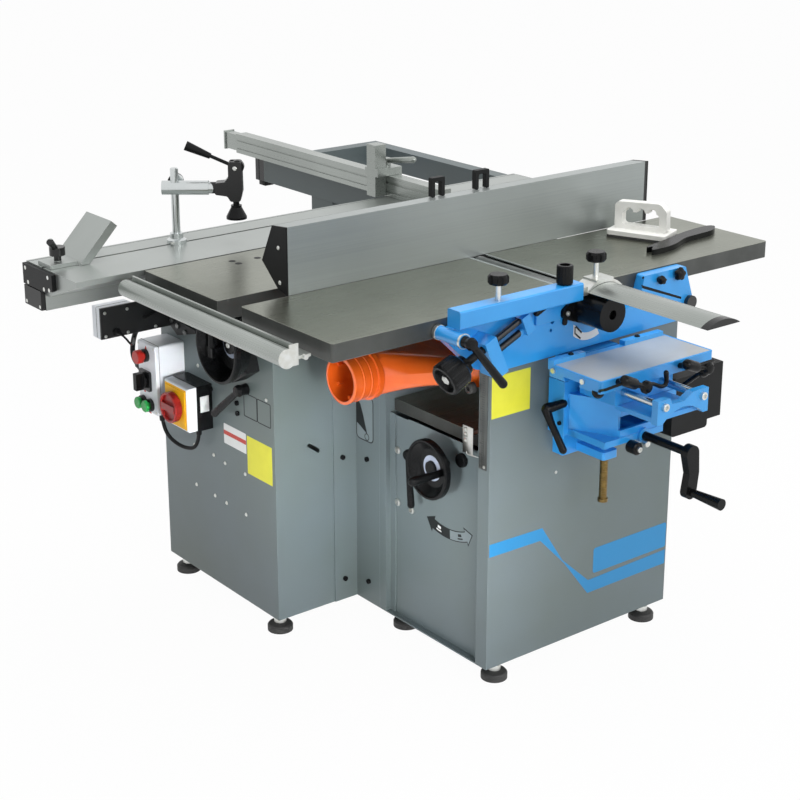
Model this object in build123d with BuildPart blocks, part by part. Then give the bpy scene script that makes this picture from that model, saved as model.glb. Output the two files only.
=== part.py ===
from build123d import *
import math
import os

os.makedirs("parts", exist_ok=True)

# All places are measured from the front left corner of the planer cabinet,
# +X along the planer feed, +Y towards the sliding table, Z from the floor.
reach_left = 575
reach_right = 857
reach_front = 380
reach_back = 1631
x0 = (reach_left - reach_right) / 2
y0 = (reach_front - reach_back) / 2

table_top = 850
foot_height = 45
sheet = 3
run = 0.4
fit = 0.05

planer_len = 540
planer_depth = 368
wall_top = table_top - 44
flange = 35
recess = 16
saw_x = -217
saw_y = 457
saw_len = 637
saw_top = table_top - 42

table_thick = 37
planing_width = 307
infeed_start = -390
outfeed_end = 823
cutter_x = 228
cutter_r = 34
cutter_z = table_top - cutter_r - 1
journal_r = 15
mouth = 20
incline = 24

fence_start = -278
fence_end = 751
fence_y = 308
fence_pivot_y = 345
fence_pivot_z = table_top + 22

saw_table_x = (-406, 520)
saw_table_depth = 285
saw_table_y = (planer_depth - 1, planer_depth - 1 + saw_table_depth)
blade_y = saw_table_y[1] - 24
blade_x = 100
blade_r = 125
arbor_z = saw_top - blade_r + 7
arbor_r = 12
partition_y = (blade_y - 22, blade_y - 16)

slide_x = (-565, 847)
carriage_width = 225
carriage_y = (saw_table_y[1] + 7, saw_table_y[1] + 7 + carriage_width)
carriage_base = table_top - 50
beam_height = 45
beam_level = carriage_base - beam_height
beam_y = (carriage_y[1] - 81, carriage_y[1])
slot_y = carriage_y[1] - 75
end_plate = 10

# The cabinet's high shoulder carries the saw table, the low one the beam
saw_shoulder = blade_y + 72
saw_back = carriage_y[1] + 41
saw_end = saw_x + saw_len

chuck_guard_r = 36
hood_y = 284
hood_z = 645
spigot_r = 50

wheel_y = 152
wheel_z = 464
wheel_r = 66
saw_wheel_y = 550
saw_wheel_z = 682
saw_wheel_r = 80


# Planes for sketches in machine measures: seen from above, from the front, from the left end
def plan(z):
    return Plane(origin=(x0, y0, z))


def side(y):
    return Plane(origin=(x0, y0 + y, 0), x_dir=(1, 0, 0), z_dir=(0, -1, 0))


def end(x):
    return Plane(origin=(x0 + x, y0, 0), x_dir=(0, 1, 0), z_dir=(1, 0, 0))


def prism(plane, points, depth, mode=Mode.ADD):
    with BuildSketch(plane) as outline:
        with BuildLine():
            Polyline(*points, close=True)
        make_face()
    extrude(outline.sketch, amount=depth, mode=mode)


def seen_from_above(points, z, mode=Mode.ADD):
    prism(plan(z[0]), points, z[1] - z[0], mode)


def seen_from_front(points, y, mode=Mode.ADD):
    prism(side(y[1]), points, y[1] - y[0], mode)


def seen_from_end(points, x, mode=Mode.ADD):
    prism(end(x[0]), points, x[1] - x[0], mode)


def block(x, y, z, mode=Mode.ADD):
    with Locations((x0 + (x[0] + x[1]) / 2, y0 + (y[0] + y[1]) / 2, (z[0] + z[1]) / 2)):
        Box(x[1] - x[0], y[1] - y[0], z[1] - z[0], mode=mode)


def bar(start, finish, radius, mode=Mode.ADD, tip=None):
    base = Vector(x0 + start[0], y0 + start[1], start[2])
    way = Vector(x0 + finish[0], y0 + finish[1], finish[2]) - base
    with BuildSketch(Plane(origin=base, z_dir=way)) as near:
        Circle(radius)
    if tip is None:
        extrude(near.sketch, amount=way.length, mode=mode)
    else:
        with BuildSketch(Plane(origin=base + way, z_dir=way)) as far:
            Circle(tip)
        loft([near.sketch, far.sketch], mode=mode)


def bore(start, finish, radius):
    bar(start, finish, radius, mode=Mode.SUBTRACT)


def ball(centre, radius):
    with Locations((x0 + centre[0], y0 + centre[1], centre[2])):
        Sphere(radius)


# Turned piece: outline of (radius, height) pairs swung about the given axis
def turned(centre, axis, outline):
    across = (0, 1, 0) if abs(axis[1]) < 0.5 else (1, 0, 0)
    spin = Plane(origin=(x0 + centre[0], y0 + centre[1], centre[2]), x_dir=across, z_dir=axis)
    flat = Plane(origin=spin.origin, x_dir=spin.x_dir, z_dir=spin.x_dir.cross(spin.z_dir))
    with BuildSketch(flat) as half_section:
        with BuildLine():
            Polyline(*outline, close=True)
        make_face()
    revolve(half_section.sketch, axis=Axis(spin.origin, spin.z_dir))


# Round cuts through a knob, given on the plane of its face
def scallops(plane, count, ring, radius, depth):
    with BuildSketch(plane) as cuts:
        with PolarLocations(ring, count):
            Circle(radius)
    extrude(cuts.sketch, amount=depth, mode=Mode.SUBTRACT)


# Saw cabinet: folded sheet with a high shoulder for the saw table and a low one for the beam
partition_top = saw_top - 18
saw_lock = (562, 568)
lock_shaft_r = 6
wheel_shaft_r = 9
pry_slot = (-114, 436)
wheel_bracket = 34
with BuildPart() as saw_cabinet:
    seen_from_end([(saw_y, foot_height), (saw_back, foot_height), (saw_back, beam_level),
                   (saw_shoulder, beam_level), (saw_shoulder, saw_top), (saw_y, saw_top)], (saw_x, saw_end))
    seen_from_end([(saw_y + sheet, foot_height + sheet), (saw_back - sheet, foot_height + sheet),
                   (saw_back - sheet, beam_level - sheet), (saw_shoulder - sheet, beam_level - sheet),
                   (saw_shoulder - sheet, saw_top - sheet), (saw_y + sheet, saw_top - sheet)],
                  (saw_x + sheet, saw_end - sheet), mode=Mode.SUBTRACT)
    block((saw_x + 70, saw_end - 70), (saw_y + 75, saw_back - 75), (foot_height - 1, foot_height + sheet + 1),
          mode=Mode.SUBTRACT)
    block((saw_x + 25, saw_end - 25), (saw_y + 25, saw_shoulder - 10), (saw_top - sheet - 1, saw_top + 1),
          mode=Mode.SUBTRACT)
    block((saw_x + sheet, saw_end - sheet), partition_y, (arbor_z - 210, partition_top))
    block((blade_x - 28, blade_x + 28), (partition_y[0] - 1, partition_y[1] + 1),
          (arbor_z - 60, partition_top + 1), mode=Mode.SUBTRACT)
    with BuildSketch(end(saw_x - wheel_bracket)):
        with BuildLine():
            FilletPolyline((saw_wheel_y + 54, saw_wheel_z + 46), (saw_wheel_y - 4, saw_wheel_z + 60),
                           (saw_wheel_y - 42, saw_wheel_z - 58), (saw_wheel_y + 16, saw_wheel_z - 94),
                           (saw_wheel_y + 56, saw_wheel_z - 78), radius=5, close=True)
        make_face()
    extrude(amount=wheel_bracket)
    bore((saw_x - wheel_bracket - 1, saw_wheel_y, saw_wheel_z), (saw_x + 4, saw_wheel_y, saw_wheel_z),
         wheel_shaft_r + fit)
    bore((saw_x - 1, saw_lock[0], saw_lock[1]), (saw_x + 4, saw_lock[0], saw_lock[1]), lock_shaft_r + fit)
    with BuildSketch(side(saw_y + sheet + 1)):
        with Locations(pry_slot):
            SlotOverall(40, 9, rotation=-37)
    extrude(amount=sheet + 2, mode=Mode.SUBTRACT)
saw_cabinet.part.label = "saw_cabinet"
export_step(saw_cabinet.part, "parts/saw_cabinet.step")

# Planer cabinet: two folded side walls on a base plate, with the bearing boss and the bed nut
inner_wall = (planer_depth - 23, planer_depth - 20)
bed_screw = (planer_len / 2, (flange + inner_wall[0]) / 2)
bed_low = 528
bed_top = bed_low + 27
screw_r = 15
motor_at = (planer_len - 140, 300)
belt_y = (inner_wall[1] + 3, planer_depth - 6)
strip_top = bed_low - 3
bearing_start = inner_wall[0] - 25
with BuildPart() as planer_cabinet:
    block((0, planer_len), (0, sheet), (foot_height, wall_top))
    block((0, planer_len), (planer_depth - sheet, planer_depth), (foot_height, wall_top))
    block((sheet, planer_len - sheet), inner_wall, (foot_height, wall_top))
    block((0, planer_len), (0, planer_depth), (foot_height, foot_height + sheet))
    for x in (0, planer_len - sheet):
        block((x, x + sheet), (0, flange), (foot_height, wall_top))
        block((x, x + sheet), (inner_wall[0], planer_depth), (foot_height, wall_top))
    for x in ((0, recess), (planer_len - recess, planer_len)):
        block(x, (flange - sheet, flange), (foot_height, wall_top))
        block(x, inner_wall, (foot_height, wall_top))
    for x in (recess - sheet, planer_len - recess):
        block((x, x + sheet), (flange - sheet, flange + 18), (foot_height, strip_top))
        block((x, x + sheet), (inner_wall[0] - 18, inner_wall[1]), (foot_height, strip_top))
    bar((cutter_x, bearing_start, cutter_z), (cutter_x, inner_wall[1], cutter_z), 30)
    block((cutter_x - 30, cutter_x + 30), (bearing_start, inner_wall[1]), (cutter_z - 60, cutter_z - 12))
    bore((cutter_x, bearing_start - 20, cutter_z), (cutter_x, inner_wall[1] + 2, cutter_z), journal_r + fit)
    bore((cutter_x, -1, cutter_z), (cutter_x, flange, cutter_z), journal_r + 4)
    block((cutter_x - 45, cutter_x + 45), (inner_wall[1], planer_depth + 1), (cutter_z - 50, wall_top + 1),
          mode=Mode.SUBTRACT)
    bore((motor_at[0], inner_wall[0] - 5, motor_at[1]), (motor_at[0], inner_wall[1] + 2, motor_at[1]), 16)
    bar((bed_screw[0], bed_screw[1], foot_height), (bed_screw[0], bed_screw[1], 190), 28)
    bore((bed_screw[0], bed_screw[1], foot_height - 1), (bed_screw[0], bed_screw[1], 191), screw_r + fit)
planer_cabinet.part.label = "planer_cabinet"
export_step(planer_cabinet.part, "parts/planer_cabinet.step")

# Recessed end panels of the thicknesser
panel_gap = 0.5
bed_lock = (253, 458)
with BuildPart() as thickness_panel:
    for x in ((recess, recess + 2), (planer_len - recess - 2, planer_len - recess)):
        block(x, (flange + panel_gap, inner_wall[0] - panel_gap), (foot_height + sheet, strip_top - 3))
        block(x, (flange + 60, inner_wall[0] - 60), (strip_top - 4, strip_top))
    bore((recess - 1, wheel_y, wheel_z), (recess + 3, wheel_y, wheel_z), wheel_shaft_r + fit)
    bore((recess - 1, bed_lock[0], bed_lock[1]), (recess + 3, bed_lock[0], bed_lock[1]), lock_shaft_r + fit)
thickness_panel.part.label = "thickness_panel"
export_step(thickness_panel.part, "parts/thickness_panel.step")

# Angle that ties the two cabinets
link_top = wall_top - 66
with BuildPart() as link_angle:
    block((0, sheet), (planer_depth, saw_y), (foot_height, link_top))
    block((-62, sheet), (saw_y - sheet, saw_y), (foot_height, link_top))
    block((sheet, 40), (planer_depth, planer_depth + sheet), (foot_height, link_top))
link_angle.part.label = "link_angle"
export_step(link_angle.part, "parts/link_angle.step")

# Levelling feet under both cabinets
feet = [(50, 30), (planer_len - 40, 30), (50, planer_depth - 33), (planer_len - 40, planer_depth - 33),
        (saw_x + 30, saw_y + 40), (saw_x + 30, saw_back - 32),
        (saw_end - 30, saw_y + 40), (saw_end - 30, saw_back - 32)]
with BuildPart() as levelling_feet:
    for x, y in feet:
        turned((x, y, 0), (0, 0, 1), [(0, 0), (29, 0), (29, 12), (26, 16), (14, 20), (14, 32), (10, 33),
                                      (10, foot_height), (0, foot_height)])
levelling_feet.part.label = "levelling_feet"
export_step(levelling_feet.part, "parts/levelling_feet.step")


# Planer table: cast plate with a rim, ribbed pockets below and a lip cleared for the cutter
def planer_table(x, pockets):
    block(x, (0.5, planing_width), (table_top - table_thick, table_top))
    for start, finish in pockets:
        for y in ((14, 150), (160, planing_width - 13)):
            block((start, finish), y, (table_top - table_thick - 1, table_top - 14), mode=Mode.SUBTRACT)
    bore((cutter_x, -1, cutter_z), (cutter_x, planing_width + 1, cutter_z), cutter_r + 4)


with BuildPart() as outfeed_table:
    planer_table((cutter_x + mouth, outfeed_end), [(300, 465), (475, 640), (650, outfeed_end - 14)])
    fillet(outfeed_table.edges().filter_by(Axis.Z).group_by(Axis.X)[-1], 6)
outfeed_table.part.label = "outfeed_table"
export_step(outfeed_table.part, "parts/outfeed_table.step")

with BuildPart() as infeed_table:
    planer_table((infeed_start, cutter_x - mouth), [(infeed_start + 14, -205), (-195, -30), (-20, 150)])
    fillet(infeed_table.edges().filter_by(Axis.Z).group_by(Axis.X)[0], 6)
infeed_table.part.label = "infeed_table"
export_step(infeed_table.part, "parts/infeed_table.step")

# Blue side casting: outfeed ear, inclined way of the infeed table with its two rods, lever boss
slope = math.radians(incline)
way = (math.cos(slope), math.sin(slope))
casting_y = (-24, 0)
casting_low = 721
knob_at = (-150, -60, 757)
lever_boss = (-140, 826)
rod_span = 109
lower_lug = (-50, 772)
casting_holes = (((142, 797), 5), ((138, 779), 3.5))
upper_lug = (lower_lug[0] + rod_span * way[0], lower_lug[1] + rod_span * way[1])


def inclined(centre, along, across, y):
    n = (-way[1], way[0])
    corners = []
    for a, b in ((-1, -1), (1, -1), (1, 1), (-1, 1)):
        corners.append((centre[0] + a * along / 2 * way[0] + b * across / 2 * n[0],
                        centre[1] + a * along / 2 * way[1] + b * across / 2 * n[1]))
    seen_from_front(corners, y)


with BuildPart() as side_casting:
    with BuildSketch(side(casting_y[1])):
        with BuildLine():
            FilletPolyline((-62, 738), (5, casting_low), (514, 728), (558, 768), (530, 847), (405, 847),
                           (392, 800), (330, 776), (292, 846), (268, 838), (-100, 838), (-150, 822),
                           (-116, 790), radius=6, close=True)
        make_face()
        for place, radius in casting_holes:
            with Locations(place):
                Circle(radius, mode=Mode.SUBTRACT)
    extrude(amount=casting_y[1] - casting_y[0])
    bar((lever_boss[0], -0.5, lever_boss[1]), (lever_boss[0], -82, lever_boss[1]), 14)
    inclined(lower_lug, 30, 84, (-74, -22))
    inclined(upper_lug, 22, 40, (-54, -22))
    for off in (-12, 12):
        start = (lower_lug[0] - off * way[1], -40, lower_lug[1] + off * way[0])
        finish = (upper_lug[0] - off * way[1], -40, upper_lug[1] + off * way[0])
        bar(start, finish, 7)
    bar((cutter_x, 0, cutter_z), (cutter_x, casting_y[0], cutter_z), 34)
    bore((cutter_x, 1, cutter_z), (cutter_x, casting_y[0] - 1, cutter_z), journal_r + fit)
    shaft = [knob_at[0] + 60 * way[0], knob_at[1], knob_at[2] + 60 * way[1]]
    far = [knob_at[0] + 150 * way[0], knob_at[1], knob_at[2] + 150 * way[1]]
    bore(shaft, far, 8 + fit)
    bore((lever_boss[0], -40, lever_boss[1]), (lever_boss[0], -90, lever_boss[1]), 6 + fit)
    for x, y in ((448, 832), (503, 836)):
        bar((x, casting_y[0], y), (x, casting_y[0] - 5, y), 7)
    bar((545, casting_y[0], 765), (545, -34, 765), 15)
side_casting.part.label = "side_casting"
export_step(side_casting.part, "parts/side_casting.step")

# Depth knob on the inclined screw, ribbed grip
with BuildPart() as depth_knob:
    turned(knob_at, (way[0], 0, way[1]), [(0, -14), (22, -14), (26, -24), (31, -24), (35, -19), (33, 17),
                                          (28, 22), (20, 22), (20, 34), (8, 34), (8, 118), (0, 118)])
    grip = Plane(origin=(x0 + knob_at[0] - 23 * way[0], y0 + knob_at[1], knob_at[2] - 23 * way[1]),
                 x_dir=(0, 1, 0), z_dir=(way[0], 0, way[1]))
    scallops(grip, 14, 37, 4, 46)
depth_knob.part.label = "depth_knob"
export_step(depth_knob.part, "parts/depth_knob.step")


# Clamping lever: waisted hub on a shaft, tapered arm and round end
def clamp_handle(hub, axis, hub_r, hub_len, shaft_r, shaft_len, tip, arm_r):
    back = [hub[i] - axis[i] * shaft_len for i in range(3)]
    elbow = [hub[i] + axis[i] * (hub_len - arm_r) for i in range(3)]
    bar(back, hub, shaft_r)
    turned(hub, axis, [(0, 0), (hub_r - 1, 0), (hub_r - 2, hub_len * 0.4), (hub_r, hub_len - arm_r),
                       (hub_r - 3, hub_len - 1), (0, hub_len)])
    bar(elbow, tip, arm_r * 0.8, tip=arm_r)
    ball(tip, arm_r)


with BuildPart() as infeed_lever:
    clamp_handle((lever_boss[0], -82 - run, lever_boss[1]), (0, -1, 0), 13, 28, 6, 30, (-66, -110, 733), 9)
infeed_lever.part.label = "infeed_lever"
export_step(infeed_lever.part, "parts/infeed_lever.step")

# Cutterblock with three knives, front chuck and rear pulley
block_y = (36, planing_width + 1)
with BuildPart() as cutterblock:
    bar((cutter_x, block_y[0], cutter_z), (cutter_x, block_y[1], cutter_z), cutter_r)
    for k in range(3):
        a = math.radians(90 + 120 * k)
        with BuildSketch(Plane(origin=(x0 + cutter_x, y0 + block_y[0] - 1, cutter_z), x_dir=(1, 0, 0),
                               z_dir=(0, 1, 0))):
            with Locations(((cutter_r - 3) * math.cos(a), (cutter_r - 3) * math.sin(a))):
                Rectangle(9, 14, rotation=math.degrees(a) + 30)
        extrude(amount=block_y[1] - block_y[0] + 2, mode=Mode.SUBTRACT)
    for k in range(3):
        a = math.radians(90 + 120 * k)
        with BuildSketch(Plane(origin=(x0 + cutter_x, y0 + block_y[0] + 2, cutter_z), x_dir=(1, 0, 0),
                               z_dir=(0, 1, 0))):
            with Locations(((cutter_r - 9) * math.cos(a), (cutter_r - 9) * math.sin(a))):
                Rectangle(18, 3, rotation=math.degrees(a))
        extrude(amount=block_y[1] - block_y[0] - 4)
    bar((cutter_x, -30, cutter_z), (cutter_x, belt_y[1], cutter_z), journal_r)
    bar((cutter_x, belt_y[0], cutter_z), (cutter_x, belt_y[1], cutter_z), 25)
    turned((cutter_x, -26, cutter_z), (0, -1, 0), [(0, 0), (25, 0), (25, 40), (18, 62), (18, 72), (7, 72),
                                                  (7, 60), (0, 60)])
cutterblock.part.label = "cutterblock"
export_step(cutterblock.part, "parts/cutterblock.step")

# Chuck guard: cup with a fixing ear, closed in front but for the chuck key's hole
guard_face = -108
guard_wall = 5
with BuildPart() as chuck_guard:
    bar((cutter_x, casting_y[0], cutter_z), (cutter_x, guard_face, cutter_z), chuck_guard_r)
    with BuildSketch(side(casting_y[0])):
        with Locations((cutter_x, cutter_z)):
            Circle(chuck_guard_r)
        with Locations((176, 810)):
            Circle(13)
        make_hull()
    extrude(amount=8)
    bore((cutter_x, casting_y[0] + 1, cutter_z), (cutter_x, guard_face + guard_wall, cutter_z),
         chuck_guard_r - guard_wall)
    bore((cutter_x, guard_face - 1, cutter_z), (cutter_x, guard_face + guard_wall + 1, cutter_z), 10)
chuck_guard.part.label = "chuck_guard"
export_step(chuck_guard.part, "parts/chuck_guard.step")

# Planer motor with pulley and flat belt in the rear wall
belt_thick = 3
with BuildPart() as planer_motor:
    bar((motor_at[0], 70, motor_at[1]), (motor_at[0], 290, motor_at[1]), 72)
    bar((motor_at[0], 45, motor_at[1]), (motor_at[0], 70, motor_at[1]), 66)
    with BuildSketch(plan(foot_height + sheet)):
        with Locations((motor_at[0], 180)):
            RectangleRounded(140, 190, 12)
    extrude(amount=12)
    block((motor_at[0] - 40, motor_at[0] + 40), (100, 260), (foot_height + sheet + 5, motor_at[1] - 40))
    block((motor_at[0] + 40, motor_at[0] + 82), (120, 220), (motor_at[1] - 35, motor_at[1] + 35))
    bar((motor_at[0], 290, motor_at[1]), (motor_at[0], belt_y[1], motor_at[1]), 12)
    bar((motor_at[0], belt_y[0], motor_at[1]), (motor_at[0], belt_y[1], motor_at[1]), 45)
    with BuildSketch(side(belt_y[1])):
        with Locations(motor_at):
            Circle(45 + run + belt_thick)
        with Locations((cutter_x, cutter_z)):
            Circle(25 + run + belt_thick)
        make_hull()
        with BuildSketch(mode=Mode.PRIVATE) as belt_inside:
            with Locations(motor_at):
                Circle(45 + run)
            with Locations((cutter_x, cutter_z)):
                Circle(25 + run)
            make_hull()
        add(belt_inside.sketch, mode=Mode.SUBTRACT)
    extrude(amount=belt_y[1] - belt_y[0])
planer_motor.part.label = "planer_motor"
export_step(planer_motor.part, "parts/planer_motor.step")

# Guard beam on its tongue, which slides up the casting
beam_box = ((-138, 185), (-66, -28), (table_top - 7, table_top + 30))
with BuildPart() as guard_beam:
    block(*beam_box)
    fillet(guard_beam.edges().filter_by(Axis.X), 4)
    block((92, 158), (-30, casting_y[0] - run), (table_top - 50, table_top))
guard_beam.part.label = "guard_beam"
export_step(guard_beam.part, "parts/guard_beam.step")


guard_low = table_top + 5
guard_rise = 14
saddle_crest = guard_low + guard_rise + 8


# Hand knobs: six-lobed star on a bright stem, and a plain milled knob
def star_knob(x, y, z, height, radius):
    bar((x, y, z), (x, y, z + height - 18), 6)
    turned((x, y, z + height - 20), (0, 0, 1), [(0, 0), (radius - 3, 0), (radius, 4), (radius, 15),
                                               (radius - 4, 20), (0, 20)])
    scallops(Plane(origin=(x0 + x, y0 + y, z + height - 21)), 6, radius + 3, 7, 22)


milled_at = (150, -47)
with BuildPart() as guard_knobs:
    star_knob(-27, -47, beam_box[2][1], 52, 21)
    star_knob(243, -40, saddle_crest, 54, 21)
    turned((milled_at[0], milled_at[1], beam_box[2][1]), (0, 0, 1), [(0, 0), (15, 0), (17, 4), (17, 38),
                                                                   (15, 40), (11, 40), (11, 34), (0, 34)])
    scallops(Plane(origin=(x0 + milled_at[0], y0 + milled_at[1], beam_box[2][1] + 3)), 16, 18.5, 2.2, 38)
guard_knobs.part.label = "guard_knobs"
export_step(guard_knobs.part, "parts/guard_knobs.step")

# Bridge guard: thin arched extrusion, and the saddle that clamps it
guard_x = (203, 295)
guard_mid = (guard_x[0] + guard_x[1]) / 2
guard_skin = 4
arch_gap = 0.7


def arch(half, low, crown, y, mode=Mode.ADD):
    with BuildSketch(side(y[1])) as section:
        with BuildLine():
            ThreePointArc((guard_mid - half, low), (guard_mid, crown), (guard_mid + half, low))
            Line((guard_mid + half, low), (guard_mid - half, low))
        make_face()
    extrude(section.sketch, amount=y[1] - y[0], mode=mode)


half = (guard_x[1] - guard_x[0]) / 2
guard_y = (-reach_front, -30)
with BuildPart() as bridge_guard:
    arch(half, guard_low, guard_low + guard_rise, guard_y)
    arch(half - 7, guard_low, guard_low + guard_rise - guard_skin, (guard_y[0] + 6, guard_y[1] + 1),
         Mode.SUBTRACT)
bridge_guard.part.label = "bridge_guard"
export_step(bridge_guard.part, "parts/bridge_guard.step")

clamp_y = (-62, -22)
with BuildPart() as guard_clamp:
    arch(half + 8, guard_low - 4, saddle_crest, clamp_y)
    block((guard_mid - 24, guard_mid + 24), clamp_y, (guard_low + 8, saddle_crest))
    arch(half + arch_gap, guard_low, guard_low + guard_rise + arch_gap, (clamp_y[0] - 1, clamp_y[1] + 1),
         Mode.SUBTRACT)
    block((guard_x[0] - arch_gap, guard_x[1] + arch_gap), (clamp_y[0] - 1, clamp_y[1] + 1),
          (guard_low - 5, guard_low), mode=Mode.SUBTRACT)
    block((beam_box[0][1], guard_x[0] - 2), clamp_y, (guard_low - 4, guard_low + 13))
guard_clamp.part.label = "guard_clamp"
export_step(guard_clamp.part, "parts/guard_clamp.step")

# Fence bracket between the planer tables and the saw table, with the hinge pin
bracket_x = (340, 410)
lug_x = (354, 396)
pin_r = 5
with BuildPart() as fence_bracket:
    block(bracket_x, (planing_width, saw_table_y[0] - 3), (table_top - 35, table_top - 4))
    block(lug_x, (fence_pivot_y - 11, fence_pivot_y + 11), (table_top - 5, fence_pivot_z))
    bar((lug_x[0], fence_pivot_y, fence_pivot_z), (lug_x[1], fence_pivot_y, fence_pivot_z), 11)
    bar((bracket_x[0], fence_pivot_y, fence_pivot_z), (bracket_x[1], fence_pivot_y, fence_pivot_z), pin_r)
fence_bracket.part.label = "fence_bracket"
export_step(fence_bracket.part, "parts/fence_bracket.step")

# Planer fence: five-sided extrusion with the hinge pocket in its underside
cap = 4
fence_top = table_top + 142
fence_section = [(fence_y, table_top + run), (fence_y, fence_top), (fence_y + 49, fence_top - 5),
                 (fence_y + 88, table_top + 57), (fence_y + 32, table_top + 8 + run)]
fence_hollow = [(fence_y + 5, table_top + 11), (fence_y + 5, fence_top - 6), (fence_y + 45, fence_top - 10),
                (fence_y + 81, table_top + 56), (fence_y + 30, table_top + 15)]
with BuildPart() as planer_fence:
    seen_from_end(fence_section, (fence_start + cap, fence_end - cap))
    for x in ((fence_start + cap, bracket_x[0] - 12), (bracket_x[1] + 12, fence_end - cap)):
        seen_from_end(fence_hollow, x, mode=Mode.SUBTRACT)
    block((lug_x[0] - run, lug_x[1] + run), (fence_pivot_y - 20, fence_pivot_y + 30),
          (table_top - 5, fence_pivot_z + 13), mode=Mode.SUBTRACT)
    bore((bracket_x[0] - 1, fence_pivot_y, fence_pivot_z), (bracket_x[1] + 1, fence_pivot_y, fence_pivot_z),
         pin_r + fit)
planer_fence.part.label = "planer_fence"
export_step(planer_fence.part, "parts/planer_fence.step")

# End caps and the two hanging hooks of the fence
hooks = ((123, 159), (246, 285))
hook_z = (fence_top - 3.2, fence_top + 39)
hook_wire = 9
with BuildPart() as fence_end_caps:
    seen_from_end(fence_section, (fence_start, fence_start + cap))
    seen_from_end(fence_section, (fence_end - cap, fence_end))
    for left, right in hooks:
        with BuildSketch(side(fence_y + 44)):
            with BuildLine():
                FilletPolyline((left, hook_z[0]), (left, hook_z[1]), (right, hook_z[1]), (right, hook_z[0]),
                               (right - hook_wire, hook_z[0]), (right - hook_wire, hook_z[1] - hook_wire),
                               (left + hook_wire, hook_z[1] - hook_wire), (left + hook_wire, hook_z[0]),
                               radius=3, close=True)
            make_face()
        extrude(amount=12)
fence_end_caps.part.label = "fence_end_caps"
export_step(fence_end_caps.part, "parts/fence_end_caps.step")

# Thicknesser bed on its rising screw
with BuildPart() as thickness_bed:
    block((recess + 8, planer_len - recess - 8), (flange + 3, inner_wall[0] - 2), (bed_low, bed_top))
    for x in (60, 180, 330, 450):
        block((x, x + 12), (flange + 20, inner_wall[0] - 20), (bed_low - 14, bed_low))
    bar((bed_screw[0], bed_screw[1], 70), (bed_screw[0], bed_screw[1], bed_low), screw_r)
    bar((bed_screw[0], bed_screw[1], bed_low - 16), (bed_screw[0], bed_screw[1], bed_low), 40)
thickness_bed.part.label = "thickness_bed"
export_step(thickness_bed.part, "parts/thickness_bed.step")


# Handwheel on a shaft along X: bowl whose rim stands forward of the hub by the dish
def handwheel(x, y, z, radius, dish, hub_r, depth, shaft_to):
    rim = 8
    turned((x, y, z), (1, 0, 0), [(0, dish - 6), (hub_r, dish - 6), (hub_r, dish), (radius - 3 * rim, dish),
                                  (radius - rim, 4), (radius - rim + 2, 0), (radius - 2, 0), (radius, 3),
                                  (radius, 14), (radius - 14, dish + rim), (hub_r, dish + rim),
                                  (hub_r, depth), (0, depth)])
    bar((x + dish, y, z), (shaft_to, y, z), wheel_shaft_r)


wheel_face = -44
wheel_dish = 18
grip_out = 32
with BuildPart() as thickness_wheel:
    handwheel(wheel_face, wheel_y, wheel_z, wheel_r, wheel_dish, 16, 46, 90)
    grip_end = (wheel_face - 60, wheel_y - grip_out, wheel_z)
    bar((wheel_face + wheel_dish, wheel_y - grip_out, wheel_z), grip_end, 8, tip=10)
    ball(grip_end, 10)
thickness_wheel.part.label = "thickness_wheel"
export_step(thickness_wheel.part, "parts/thickness_wheel.step")

with BuildPart() as bed_lock_lever:
    clamp_handle((recess - 8, bed_lock[0], bed_lock[1]), (-1, 0, 0), 13, 26, lock_shaft_r, 40,
                 (-20, bed_lock[0] - 23, bed_lock[1] - 106), 8)
bed_lock_lever.part.label = "bed_lock_lever"
export_step(bed_lock_lever.part, "parts/bed_lock_lever.step")

# Chip hood: round spigot flared into a flat trough under the cutterblock
hood_skin = 3
trough = ((40, inner_wall[0]), (664, 704))
flare_at = -92
flare_end = 24


def hood_flare(shrink, start, mode):
    with BuildSketch(end(start)) as ring:
        with Locations((hood_y, spigot_z)):
            Circle(spigot_r - shrink)
    with BuildSketch(end(flare_end)) as slot:
        with Locations(((trough[0][0] + trough[0][1]) / 2, (trough[1][0] + trough[1][1]) / 2)):
            Rectangle(trough[0][1] - trough[0][0] - 2 * shrink, trough[1][1] - trough[1][0] - 2 * shrink)
    loft([ring.sketch, slot.sketch], mode=mode)


trough_end = 300
spigot_z = hood_z + 8
hood_wall = hood_skin + 1
with BuildPart() as chip_hood:
    hood_flare(0, flare_at, Mode.ADD)
    block((flare_end, trough_end), trough[0], trough[1])
    bar((flare_at - 12, hood_y, spigot_z), (flare_at, hood_y, spigot_z), spigot_r + 5)
    bar((-165, hood_y, spigot_z), (flare_at - 12, hood_y, spigot_z), spigot_r)
    hood_flare(hood_skin, flare_at, Mode.SUBTRACT)
    bore((-166, hood_y, spigot_z), (flare_at + 8, hood_y, spigot_z), spigot_r - hood_wall)
    block((flare_end - 8, trough_end - hood_skin), (trough[0][0] + hood_wall, trough[0][1] - hood_wall),
          (trough[1][0] + hood_wall, trough[1][1] - hood_wall), mode=Mode.SUBTRACT)
    block((120, trough_end - hood_skin), (trough[0][0] + 8, trough[0][1] - 8),
          (trough[1][1] - 8, trough[1][1] + 1), mode=Mode.SUBTRACT)
    for outline in ([(116, 702), (120, 702), (176, 790), (173, 790)],
                    [(297, 702), (300, 702), (283, 770), (280, 770)]):
        seen_from_front(outline, (trough[0][0] + 3, bearing_start - 5))
chip_hood.part.label = "chip_hood"
export_step(chip_hood.part, "parts/chip_hood.step")

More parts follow.
